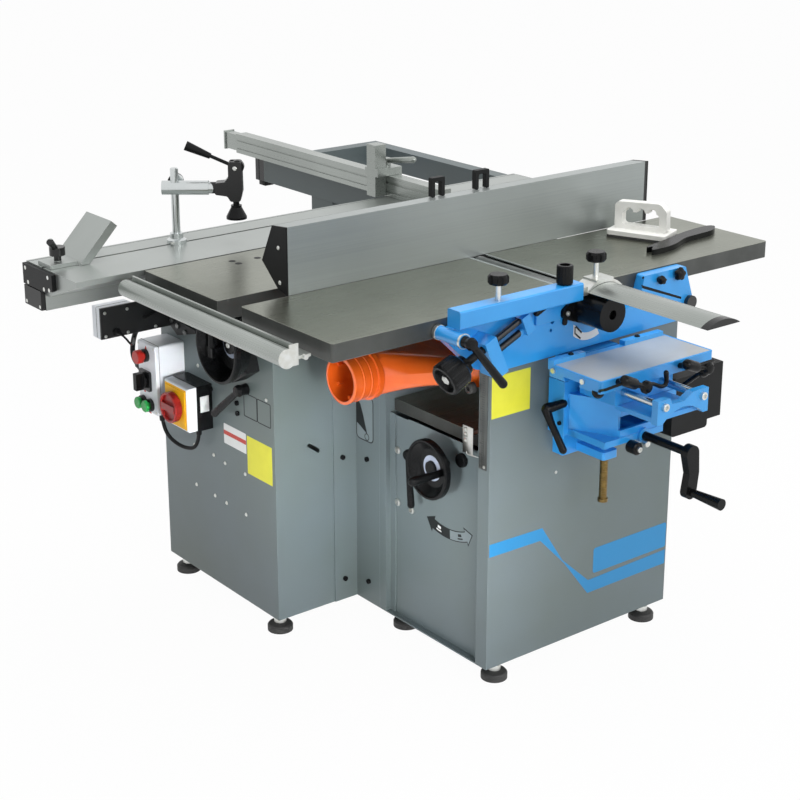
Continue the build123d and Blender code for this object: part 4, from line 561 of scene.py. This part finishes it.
# rule graduations up Z: every so many a longer one
tree, given = newTree("ruleTicks", ("Step", "Short", "Long", "Width", "Thickness"), {"Count": "Int", "Every": "Int"})
stepUp = addNode(tree, "ShaderNodeCombineXYZ", {"Z": given["Step"]})
rule = addNode(tree, "GeometryNodeMeshLine", {"Count": given["Count"], "Offset": stepUp}, mode="OFFSET")
markSize = addNode(tree, "ShaderNodeCombineXYZ", {"X": given["Thickness"], "Y": 1.0, "Z": given["Width"]})
mark = addNode(tree, "GeometryNodeMeshCube", {"Size": markSize})
fromEdge = addNode(tree, "GeometryNodeTransform", {"Geometry": mark, "Translation": (0.0, 0.5, 0.0)})
rest = addMath(tree, "MODULO", addNode(tree, "GeometryNodeInputIndex"), given["Every"])
isShort = addMath(tree, "GREATER_THAN", rest, 0.5)
reach = addNode(tree, "ShaderNodeMix", {0: isShort, 2: given["Long"], 3: given["Short"]})
stretch = addNode(tree, "ShaderNodeCombineXYZ", {"X": 1.0, "Y": reach, "Z": 1.0})
marks = addNode(tree, "GeometryNodeInstanceOnPoints", {"Points": rule, "Instance": fromEdge, "Scale": stretch})
tickTree = endTree(tree, marks, given)

# screw thread: a pointed profile wound up Z
tree, given = newTree("screwThread", ("Turns", "Radius", "Length", "Depth"), {})
coil = addNode(tree, "GeometryNodeCurveSpiral", {
    "Resolution": 18, "Rotations": given["Turns"], "Start Radius": given["Radius"], "End Radius": given["Radius"],
    "Height": given["Length"]})
ridge = addNode(tree, "GeometryNodeCurvePrimitiveCircle", {"Resolution": 5, "Radius": given["Depth"]})
wound = addNode(tree, "GeometryNodeCurveToMesh", {"Curve": coil, "Profile Curve": ridge, "Fill Caps": True})
threadTree = endTree(tree, wound, given)

# teeth that point inwards from a ring about Z
tree, given = newTree("ringTeeth", ("Ring Radius",), {"Count": "Int", "Tooth Size": "Vector"})
ring = addNode(tree, "GeometryNodeMeshCircle", {"Vertices": given["Count"], "Radius": given["Ring Radius"]})
tooth = addNode(tree, "GeometryNodeMeshCube", {"Size": given["Tooth Size"]})
outward = addNode(tree, "GeometryNodeInputPosition")
radial = addNode(tree, "FunctionNodeAlignRotationToVector", {"Vector": outward}, axis="X")
teeth = addNode(tree, "GeometryNodeInstanceOnPoints", {"Points": ring, "Instance": tooth, "Rotation": radial})
toothTree = endTree(tree, teeth, given)
print("node trees ready")

front, back, left, right, top, under = (0, -1, 0), (0, 1, 0), (-1, 0, 0), (1, 0, 0), (0, 0, 1), (0, 0, -1)
# planes in mm that pieces lie on: saw cabinet, control box, recess panel, side casting, tables
sawEnd, boxFace, panel, casting, tableTop = -217, -293, 16, -24, 850


# flat faces with the way they look: along the front at y, across the end at x, level at z
def onWall(y, facing=front):
    return (lambda u, v: spot(u, y, v)), facing


def onEnd(x):
    return (lambda u, v: spot(x, u, v)), left


def onTop(z):
    return (lambda u, v: spot(u, v, z)), top


# leads between the electric boxes: smooth lines that leave each box straight
leads = dict(
    feedLead=dict(radius=6, length=202, glands=(right, back), points=(
        (-320, 892, 664), (-274, 892, 664), (-280, 945, 612), (-283, 952, 541), (-283, 905, 541))),
    limitLead=dict(radius=2.5, length=173, glands=(front,), points=(
        (-364, 870, 652), (-364, 840, 652), (-336, 842, 612), (-280, 942, 603))),
    switchLead=dict(radius=4.5, length=201, glands=(under, under), points=(
        (-270, 845, 443), (-270, 845, 396), (-253, 792, 366), (-237, 738, 378), (-237, 738, 432))))
for name, lead in leads.items():
    radius, points = lead["radius"], lead["points"]
    line = bpy.data.curves.new(name, "CURVE")
    setAll(line, dimensions="3D", bevel_depth=radius / 1000, bevel_resolution=4, resolution_u=12, use_fill_caps=True)
    run = line.splines.new("NURBS")
    run.points.add(len(points) - 1)
    for point, place in zip(run.points, points):
        point.co = (*spot(*place), 1)
    setAll(run, order_u=3, use_endpoint_u=True)
    line.materials.append(materialOf("blackPvc"))
    piece = addObject(name, line)
    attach(piece, "machine_frame")
    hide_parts("cables")
    core = radius - 0.4
    sleeve = [(core, 0), (core + 5, 0), (core + 5, 5), (core + 3, 7), (core + 2, 20), (core, 20), (core, 0)]
    glands = build(name + "Glands", "blackPvc", *[
        (addTurned, sleeve, place, facing, 20) for facing, place in zip(lead["glands"], (points[0], points[-1]))])
print("leads:", len(leads))

# fastener heads: sides, then the head sizes in mm; a negative rise is a drive recess
headKinds = dict(
    panHead=(20, 5.0, 1.4, 1.3, 1.9, -1.2), rivet=(18, 4.6, 0.8, 1.5, 1.6, 0.3),
    socketCap=(22, 6.5, 5.5, 0.6, 3.2, -3.0), hexHead=(6, 7.5, 4.4, 0.8, 4.4, 0.4))
incline = math.radians(24)
along, up = math.cos(incline), math.sin(incline)
knob = dict(face=(-150 - 14 * along, -60, 757 - 14 * up), facing=(-along, 0, -up))
pin = dict(x=-125.5, y=725.1, z=1023, half=15, way=(0.617, 0.787))
wayX, wayY = pin["way"]
# each set: name, kind, finish, body, rows of (facing, size, places)
headSets = (
    ("cabinetRivets", "rivet", "zincPlated", "machine_frame", (
        (left, 1.0, [(sawEnd, y, z) for y, z in (
            (792, 365), (709, 366), (661, 361), (578, 361), (790, 266), (709, 265), (660, 263), (579, 262),
            (906, 352), (485, 564), (764, 568))]),
        (front, 0.8, [(187, 0, 450)]))),
    ("cabinetBolts", "socketCap", "blackPhenolic", "machine_frame", (
        (left, 0.9, [(sawEnd, 709, 527), (sawEnd, 601, 524), (sawEnd, 600, 500), (0, 411, 396), (0, 407, 97)]),
        (front, 0.9, [(-39, 454, 397), (-35, 454, 97)]))),
    ("panelScrews", "panHead", "zincPlated", "machine_frame", (
        (left, 1.7, [(panel, 321, 442), (panel, 321, 318), (panel, 272, 316)]),
        (left, 0.7, [(-1.2, 15, 709), (-1.2, 15, 504)]),
        (left, 0.6, [(boxFace, y, z) for y in (831, 898) for z in (450, 604)]),
        (front, 0.75, [(x, 870, z) for x in (-391, -334, -262) for z in (645, 700)]),
        (back, 1.0, [(x, 926.2, z) for x in (-138, 28, 194) for z in (142, 538)]))),
    ("armBolts", "hexHead", "turnedSteel", "machine_frame", (
        (left, 0.9, [(-225, 857, 655), (-225, 832, 648), (-225, 800, 640)]),)),
    ("earScrew", "socketCap", "zincPlated", "machine_frame", ((front, 0.8, [(176, -30, 810)]),)),
    ("fenceCapRivets", "rivet", "zincPlated", "fence", (
        (left, 1.0, [(-278, 335, 945), (-278, 332, 873)]),
        (right, 1.0, [(751, 335, 945), (751, 332, 873)]))),
    ("mortiserTableBolts", "hexHead", "zincPlated", "cross_table", (
        (left, 0.85, [(113, -62, 709), (113, -146, 709)]),)),
    ("mortiserLipScrews", "panHead", "blackPhenolic", "cross_table", (
        (top, 1.2, [(168, -53, 730), (359, -53, 730)]),)),
    ("kneeRodScrews", "socketCap", "zincPlated", "knee", (
        (front, 1.25, [(207, -278, 672), (316, -278, 672)]), (front, 0.9, [(240, -184, 546)]))),
    ("kneeCheekScrews", "socketCap", "blackPhenolic", "knee", (
        (left, 0.7, [(154, -20, 577), (154, -42, 581), (154, -32, 562)]),)),
    ("depthKnobNut", "hexHead", "zincPlated", "depth_screw", ((knob["facing"], 1.4, [knob["face"]]),)),
    ("sawWheelScrew", "panHead", "zincPlated", "rise_wheel", ((left, 1.3, [(-268, 550, 682)]),)),
    ("holdDownPin", "rivet", "zincPlated", "hold_arm", [
        ((side * wayX, side * wayY, 0), 1.1,
         [(pin["x"] + side * wayX * pin["half"], pin["y"] + side * wayY * pin["half"], pin["z"])])
        for side in (-1, 1)]),
    ("columnNuts", "hexHead", "zincPlated", "carriage", (
        (top, 0.75, [(-250, 797, 853), (-215, 821, 853)]),)),
)
for seed, (name, kind, finish, body, rows) in enumerate(headSets):
    places = [(facing, size, place) for facing, size, group in rows for place in group]
    points = bpy.data.meshes.new(name)
    points.from_pydata([spot(*place) for facing, size, place in places], [], [])
    points.attributes.new("facing", "FLOAT_VECTOR", "POINT")
    points.attributes.new("headSize", "FLOAT", "POINT")
    for k, (facing, size, place) in enumerate(places):
        points.attributes["facing"].data[k].vector = facing
        points.attributes["headSize"].data[k].value = size
    sides, *sizes = headKinds[kind]
    settings = {label: size / 1000 for label, size in zip(headSizes, sizes)}
    settings.update({"Sides": sides, "Twist Seed": seed})
    grow(name, fastenerTree, finish, settings, body, points=points)
print("fasteners:", sum(len(group) for row in headSets for facing, size, group in row[4]))

# vinyl on the sheet metal: stripe, blank panel and bare plates
vinyl = dict(thick=0.4, panel=((308, 179), (537, 239)), stripe=(
    (4, 334), (152, 331), (214, 238.5), (294, 167), (537, 171), (537, 137), (293, 136), (220, 229), (147, 303),
    (4, 305)))
thick = vinyl["thick"]
build(
    "stripeVinyl", "blueVinyl", (addPlate, vinyl["stripe"], onWall(0), thick),
    (addPlate, roundRect(*vinyl["panel"], 6), onWall(0), thick))
build(
    "yellowPlates", "yellowVinyl", (addPlate, roundRect((3, 611), (107, 701), 1.5), onWall(0), thick),
    (addPlate, roundRect((469, 367), (567, 457), 1.5), onEnd(sawEnd), thick))
build(
    "whitePlates", "whiteVinyl", (addPlate, roundRect((571, 411), (662, 459), 1.5), onEnd(sawEnd), thick),
    (addPlate, roundRect((-249, 476), (-226, 514), 1.0), onWall(708), thick))
build(
    "redMarks", "redVinyl", (addPlate, [(571, 433), (662, 433), (662, 443), (571, 443)], onEnd(sawEnd), 0.15, thick),
    *[(addPlate, [(y - 5, z - 4), (y + 5, z - 4), (y, z + 5)], onEnd(boxFace), 0.3)
      for y, z in ((866, 600), (858, 446), (879, 493))])


def inset(low, high, by):
    return (low[0] + by, low[1] + by), (high[0] - by, high[1] - by)


# dark keylines of the bare pair of plates and of the plate on the link angle
keylines = dict(
    pair=(((470, 501), (523, 557)), ((523, 501), (576, 557))), link=((389, 437), (452, 545)), wide=2.0, linkWide=2.4,
    horn=((450, 532), (450, 474), (436, 468), (411, 455), (419, 476), (426, 497), (436, 520)))
linkInside = roundRect(*inset(*keylines["link"], keylines["linkWide"]), 10)
build(
    "plateKeylines", "blackVinyl",
    *[(addFrame, roundRect(*plate, 4), roundRect(*inset(*plate, keylines["wide"]), 2.5), onEnd(sawEnd), 0.3)
      for plate in keylines["pair"]],
    (addFrame, roundRect(*keylines["link"], 12), linkInside, onEnd(0), 0.3),
    (addPlate, keylines["horn"], onEnd(-0.2), 0.15), (addRing, (-0.2, 413, 448), left, 6.5, 8.5, 0.15, 20))
build("linkPlateFace", "greyVinyl", (addPlate, linkInside, onEnd(0), 0.2))

# turning marks: two-tone double arrow under the thickness wheel, single one round the cutterblock
turnCentre = (152, 464)


# two bars in the arrow about an angle, as (inner radius, outer radius, half the angle)
def turnBars(middle, lift):
    bars = [bentArrow(turnCentre, inner, outer, middle - half, middle + half, 0.1, 0)[:-1]
            for inner, outer, half in ((154, 160, 2), (163, 166, 3))]
    return [(addPlate, bar, onEnd(panel), 0.2, lift) for bar in bars]


build(
    "arrowGrounds", "blackVinyl", *turnBars(254, 0.5),
    (addPlate, bentArrow(turnCentre, 148, 172, 247, 286, 9, 9, True), onEnd(panel), 0.3),
    *[(addPlate, bar, onWall(casting), 0.2, 0.25) for bar in (
        ((206, 773), (208.5, 776), (226, 759), (223.5, 756)), ((206, 757), (207.5, 760), (223, 747), (221, 744)),
        ((204, 774), (207, 774), (207, 758), (204, 758)))])
curved = bentArrow((244, 812), 57, 73, 295, 253, 0, 0)
curved[15:18] = [(208, 750), (201, 755), (201, 779), (220, 766)]
build("arrowFaces", "whiteVinyl", (addPlate, curved, onWall(casting), 0.25), *turnBars(279, 0.3))
build(
    "arrowPaleHalf", "greyVinyl",
    (addPlate, bentArrow(turnCentre, 150, 170, 266, 246.3, 7.2, 6.7), onEnd(panel), 0.2, 0.3))
print("vinyl laid")

# steel rule on the flange, read by a pointer that rises with the bed
ruler = dict(low=(8, 497), high=(32, 716), count=42, step=5.0)
build("thicknessRule", "ruleSteel", (addPlate, roundRect(ruler["low"], ruler["high"], 2), onEnd(0), 1.2))
grow("ruleTicks", tickTree, "blackVinyl", {
    "Count": ruler["count"], "Step": ruler["step"] / 1000, "Every": 5, "Short": 0.008, "Long": 0.014, "Width": 0.0009,
    "Thickness": 0.0003}, at=(-1.3, ruler["low"][0] + 8, ruler["low"][1] + 7))
pointer = dict(low=(-6, 46, 520), high=(-4, 78, 580), tongue=((-6, 61, 556), (40, 77, 559)), screws=(573, 562, 548))
build(
    "thicknessPointer", "zincPlated", (addBlock, pointer["low"], pointer["high"], 0.6),
    (addBlock, *pointer["tongue"], 0.6),
    (addSwept, [(-5, 66, 524), (-5, 62, 519), (-5, 46, 520), (-4, 31, 521)], [1.6, 1.6, 1.4, 0.8], 8),
    *[(addTurned, [(0, 3), (2, 3), (4.2, 1.6), (4.2, 0)], (-6, 68, z), left, 14) for z in pointer["screws"]],
    body="bed", slot="guard_clamp")

# black buttons on the recess panel and beside the hood
build("panelStop", "blackPhenolic", (
    addTurned, [(0, 12), (9, 12), (14, 11), (15.5, 8), (15.5, 2), (13, 0), (0, 0)], (panel, 100, 489), left),
    slot="thickness_wheel")
build("hoodCatch", "blackRubber", (
    addTurned, [(0, 10), (5, 10), (5, 16), (9, 17), (12, 14), (12, 2), (8, 0), (0, 0)], (2, 54, 666), left),
    body="hood", slot="levelling_feet")

# service cover on the back of the saw cabinet, with pressed louvres over dark strips of painted shade
cover = dict(low=(-150, 130), high=(206, 550), wall=925, thick=1.2, louvres=9, step=26, long=150, wide=9, deep=4,
             first=(-46, 300))
build("serviceCover", "greyPowderCoat", (
    addPlate, roundRect(cover["low"], cover["high"], 10), onWall(cover["wall"], back), cover["thick"]),
    slot="saw_cabinet")
for name, finish, wide, deep, lift in (
        ("coverLouvres", "greyPowderCoat", cover["wide"], cover["deep"], 0),
        # dark strips under the louvres: painted shade in their openings
        ("coverSlots", "blackPaint", 3, 0.3, -cover["wide"] / 2 - 2)):
    grow(name, tickTree, finish, {
        "Count": cover["louvres"], "Step": cover["step"] / 1000, "Every": 1, "Short": cover["long"] / 1000,
        "Long": cover["long"] / 1000, "Width": wide / 1000, "Thickness": deep / 1000},
        at=(cover["first"][0], cover["wall"] + cover["thick"], cover["first"][1] + lift),
        turn=Matrix.Rotation(-math.pi / 2, 4, "Z"))

# trim rings in the dishes of both handwheels
build("sawWheelRing", "paleNylon", (addRing, (-262, 550, 682), left, 20.5, 30, 0.8), body="rise_wheel")
build("thicknessWheelRing", "paleNylon", (addRing, (-26, 152, 464), left, 17, 28, 0.8), body="bed_wheel")

# beads and inner teeth of the chip spigot
spigot = dict(end=-165, y=284, z=653, root=49.8, radius=50, teethIn=26)
end, y, z, root, radius, teethIn = spigot.values()
build("spigotBeads", "orangeAbs", *[
    (addTurned, [(root, start), (radius + proud, start + 1), (radius + proud, start + wide - 1.5), (root, start + wide),
                 (root, start)], (end, y, z), right, 48)
    for start, proud, wide in ((0, 2.6, 7), (24, 1.6, 5), (44, 1.2, 4))], body="hood", slot="chip_hood")
grow("spigotTeeth", toothTree, "orangeAbs", {
    "Count": 6, "Ring Radius": 0.0425, "Tooth Size": (0.010, 0.005, 0.012)}, "hood",
    at=(end + teethIn, y, z), turn=Matrix.Rotation(math.pi / 2, 4, "Y"))

# electrics: lid seams, then a black disc of painted shade for the keyhole, gland of the limit lead and a small lever
build(
    "lidSeams", "blackRubber",
    (addFrame, roundRect((823.6, 442.6), (905.4, 611.4), 3), roundRect((826, 445), (903, 609), 2),
     onEnd(-283), 1.0),
    (addFrame, roundRect((-402.4, 638.6), (-319.6, 712.4), 3), roundRect((-400, 641), (-322, 710), 2),
     onWall(890), 1.0))
build(
    "electricTrim", "blackPhenolic", (addTurned, [(0, 0.4), (4, 0.4), (4, 0), (0, 0)], (-284, 746, 483), left, 18),
    (addRing, (-364, 870, 652), front, 4.4, 10, 5, 6),
    (addSwept, [(-296, 862, 674), (-281, 860, 679), (-266, 858, 684)], [3.2, 3.2, 2.6], 10))

# side casting: bright collars of the lever boss, plugs of the rods, tab of the chuck guard
build(
    "leverBossCollars", "zincPlated", (addRing, (-140, -0.8, 826), front, 13.8, 15.2, 9),
    (addRing, (-140, -77, 826), front, 13.8, 15.4, 4.8))
build(
    "castingPlugs", "blackPhenolic", (addSwept, [(84, -38, 829), (104, -38, 838)], [6.5, 6.5], 14, 2),
    (addSwept, [(-52, -34, 838), (-26, -34, 838)], [4.5, 4.5], 12, 2),
    (addPlate, roundRect((168, 784), (180, 800), 5), onWall(-25), 3.0))

# mortiser: thread of the brass screw
grow("risingScrewThread", threadTree, "dullBrass", {
    "Turns": 24.0, "Radius": 0.008, "Length": 0.091, "Depth": 0.0009}, at=(234, -94, 411.5))

# mortiser: clamp handles on the table's front edge, ball under its corner; grips as x, z of three points
handles = dict(y=-228, grips=((146, 726, 172, 714, 205, 700.5), (323, 722, 350, 711, 384, 702)))
y = handles["y"]
steps = []
for x1, z1, x2, z2, x3, z3 in handles["grips"]:
    steps += [
        (addSwept, [(x1 + 14, -194, z1 - 14), (x1 + 12, y + 14, z1 - 8), (x1 + 12, y, z1 - 6)], [6, 7, 8], 14),
        (addSwept, [(x1, y, z1), (x2, y, z2)], [11.5, 11.5], 20, 3),
        (addSwept, [(x2, y, z2), (x3, y, z3)], [6, 6], 12, 2),
        (addTurned, [(0, 16), (5, 16), (10, 14.5), (13.4, 10), (13.4, 3), (11, 0), (0, 0)], (x3, y + 5, z3), front, 28)]
build(
    "tableClamps", "blackPhenolic", *steps,
    (addSwept, [(206, y, 703), (226, y, 702), (248, y, 692), (263, y, 695), (262, y, 718)],
     [4.4, 4.2, 4.2, 4.6, 5.4], 12),
    (addSwept, [(97, -224, 717), (146, y, 722)], [3, 3], 10, 3),
    (addSwept, [(97, -224, 717), (108, -200, 706), (116, -190, 700)], [3, 3, 3.5], 10),
    (addSwept, [(350, y, 713), (400, y, 715)], [4.4, 3.6], 12, 3),
    (addTurned, [(0, -12.5), (5, -11.6), (9, -9), (11.8, -4.6), (12.6, 0), (12, 4), (0, 4)], (122, -180, 694),
     top, 24),
    body="cross_table", slot="mortise_crank")

# mortiser: clamp lever on the knee's cheek, bearing and stud under its flange
build(
    "kneeClamp", "blackPhenolic", (addSwept, [(154, -50, 626), (136, -45, 623), (118, -40, 620)], [9, 10, 11.5], 18, 4),
    (addSwept, [(116, -40, 619), (114, -56, 597), (114, -76, 572), (116, -93, 546)], [10.5, 8, 7.5, 8], 16),
    (addTurned, [(0, 0), (11, 0), (13.5, 2), (13.5, 24), (12, 26), (0, 26)], (240, -184, 546), back, 28),
    body="knee", slot="mortise_crank")
build(
    "kneeStud", "zincPlated", (addTurned, [(0, 0), (6, 0), (7, 1.5), (7, 30), (0, 30)], (272, -180, 548), back, 20),
    body="knee", slot="guard_clamp")

# ear of the casting: two hand knobs, and a slot and a sunk hole drawn as flat black sheets of painted shade
knobOutline = ((0, 17), (6, 17), (11, 15), (13.5, 11), (13.5, 6), (10, 2), (6, 0), (0, 0))
hole = [polar((399.5, 844), 3, 30 * k) for k in range(12)]
build(
    "earFittings", "blackPhenolic",
    *[(addTurned, [(radius * size, height) for radius, height in knobOutline], (x, -24.5, z), front, 36, 5)
      for x, z, size in ((503, 836, 1.0), (448, 832, 0.66))],
    # flat black slot and hole: painted shade
    *[(addPlate, outline, onWall(casting), 0.15)
      for outline in ([(395, 829), (399, 821), (520, 775), (521, 780)], hole)], slot="infeed_lever")

# outrigger: black catch under the end of the near tube
build(
    "outriggerCatch", "blackPhenolic", (addBlock, (432, 1448, 773), (462, 1478, 788.5), 2.0), body="carriage",
    slot="carriage_end_plates")

# push stick: notched nose and waisted body, with a softened rim
stick = dict(thick=12.0, soften=1.2, sharp=1.2, outline=(
    (551, 106), (615, 120), (694, 141), (753, 149.5), (791, 149), (799.5, 137), (779, 120), (754, 112), (703, 108),
    (664, 103), (618, 84), (581, 75), (538, 74.2), (534.3, 81), (551, 94.5), (537, 98)))
stickPiece = build(
    "pushStickBody", "blackPhenolic",
    (addPlate, smoothOutline(stick["outline"], 4), onTop(tableTop), stick["thick"]),
    (softenEdges, stick["sharp"], stick["soften"]), body="stick", slot="push_stick")
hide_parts("push_stick")

# hold-down: flange of the column
build("columnFlange", "zincPlated", (
    addTurned, [(9.3, 0), (22, 0), (22, 2), (14, 3.4), (11.5, 6), (9.3, 6), (9.3, 0)], (-232.5, 809, 850.2), top, 32),
    body="carriage", slot="clamp_column")

# small screw sinkings of the saw table, drawn as black discs of painted shade
build("tableSinkings", "blackPaint", *[
    (addTurned, [(0, 0.25), (7.6, 0.25), (8, 0), (0, 0)], (x, y, tableTop), top, 24)
    for x, y in ((-219, 602), (-218, 578), (-161, 591))])
print("small pieces made")

# studio: pale floor, white behind, three broad lamps, three small ones aimed into corners
studio = dict(floorSize=40.0, floorColour="e9eaea", floorGlow=0.97, worldLight=0.42, middle=(140, 500, 600), lamps=dict(
    keyLamp=dict(place=(100, -4200, 2300), size=2.6, power=66),
    topLamp=dict(place=(400, 300, 3600), size=3.0, power=90, hidden=True),
    sideLamp=dict(place=(2900, -2600, 2000), size=2.4, power=20),
    cornerLamp=dict(place=(-420, -900, 430), size=0.6, power=1.0, aim=(-120, 457, 280), spread=40),
    recessLamp=dict(place=(-1800, -450, 560), size=0.6, power=0.8, aim=(20, 200, 420), spread=24),
    switchLamp=dict(place=(-900, -1500, 700), size=0.5, power=0.55, aim=(-270, 840, 540), spread=16)))
white = (1, 1, 1, 1)
floorMesh = bpy.data.meshes.new("floor")
half = studio["floorSize"] / 2
floorMesh.from_pydata([(-half, -half, 0), (half, -half, 0), (half, half, 0), (-half, half, 0)], [], [(0, 1, 2, 3)])
floor = addObject("floor", floorMesh)
floorFinish = bpy.data.materials.new("paleFloor")
tree = clearTree(floorFinish)
path = addNode(tree, "ShaderNodeLightPath").outputs
seen = addMath(tree, "MAXIMUM", path["Is Camera Ray"], path["Is Glossy Ray"])
share = addMath(tree, "MULTIPLY", seen, studio["floorGlow"])
matt = addNode(tree, "ShaderNodeBsdfDiffuse", {"Color": linear(studio["floorColour"])})
glow = addNode(tree, "ShaderNodeEmission", {"Color": white, "Strength": 1.0})
both = addNode(tree, "ShaderNodeMixShader", {0: share, 1: matt, 2: glow})
addNode(tree, "ShaderNodeOutputMaterial", {"Surface": both})
floorMesh.materials.append(floorFinish)

world = bpy.data.worlds.new("studio")
scene.world = world
tree = clearTree(world)
path = addNode(tree, "ShaderNodeLightPath").outputs
direct = addMath(tree, "MAXIMUM", path["Is Camera Ray"], path["Is Transmission Ray"])
seen = addMath(tree, "MAXIMUM", direct, path["Is Glossy Ray"])
level = mapRange(tree, seen, 0.0, 1.0, studio["worldLight"], 1.0)
sky = addNode(tree, "ShaderNodeBackground", {"Color": white, "Strength": level})
addNode(tree, "ShaderNodeOutputWorld", {"Surface": sky})
for name, recipe in studio["lamps"].items():
    lamp = bpy.data.lights.new(name, "AREA")
    setAll(lamp, shape="DISK", size=recipe["size"], energy=recipe["power"],
           spread=math.radians(recipe.get("spread", 180)))
    holder = addObject(name, lamp)
    holder.location = spot(*recipe["place"])
    aim = spot(*recipe.get("aim", studio["middle"])) - holder.location
    holder.rotation_euler = aim.to_track_quat("-Z", "Y").to_euler()
    holder.visible_camera = False
    holder.visible_glossy = not ("aim" in recipe or recipe.get("hidden"))
print("studio lit")
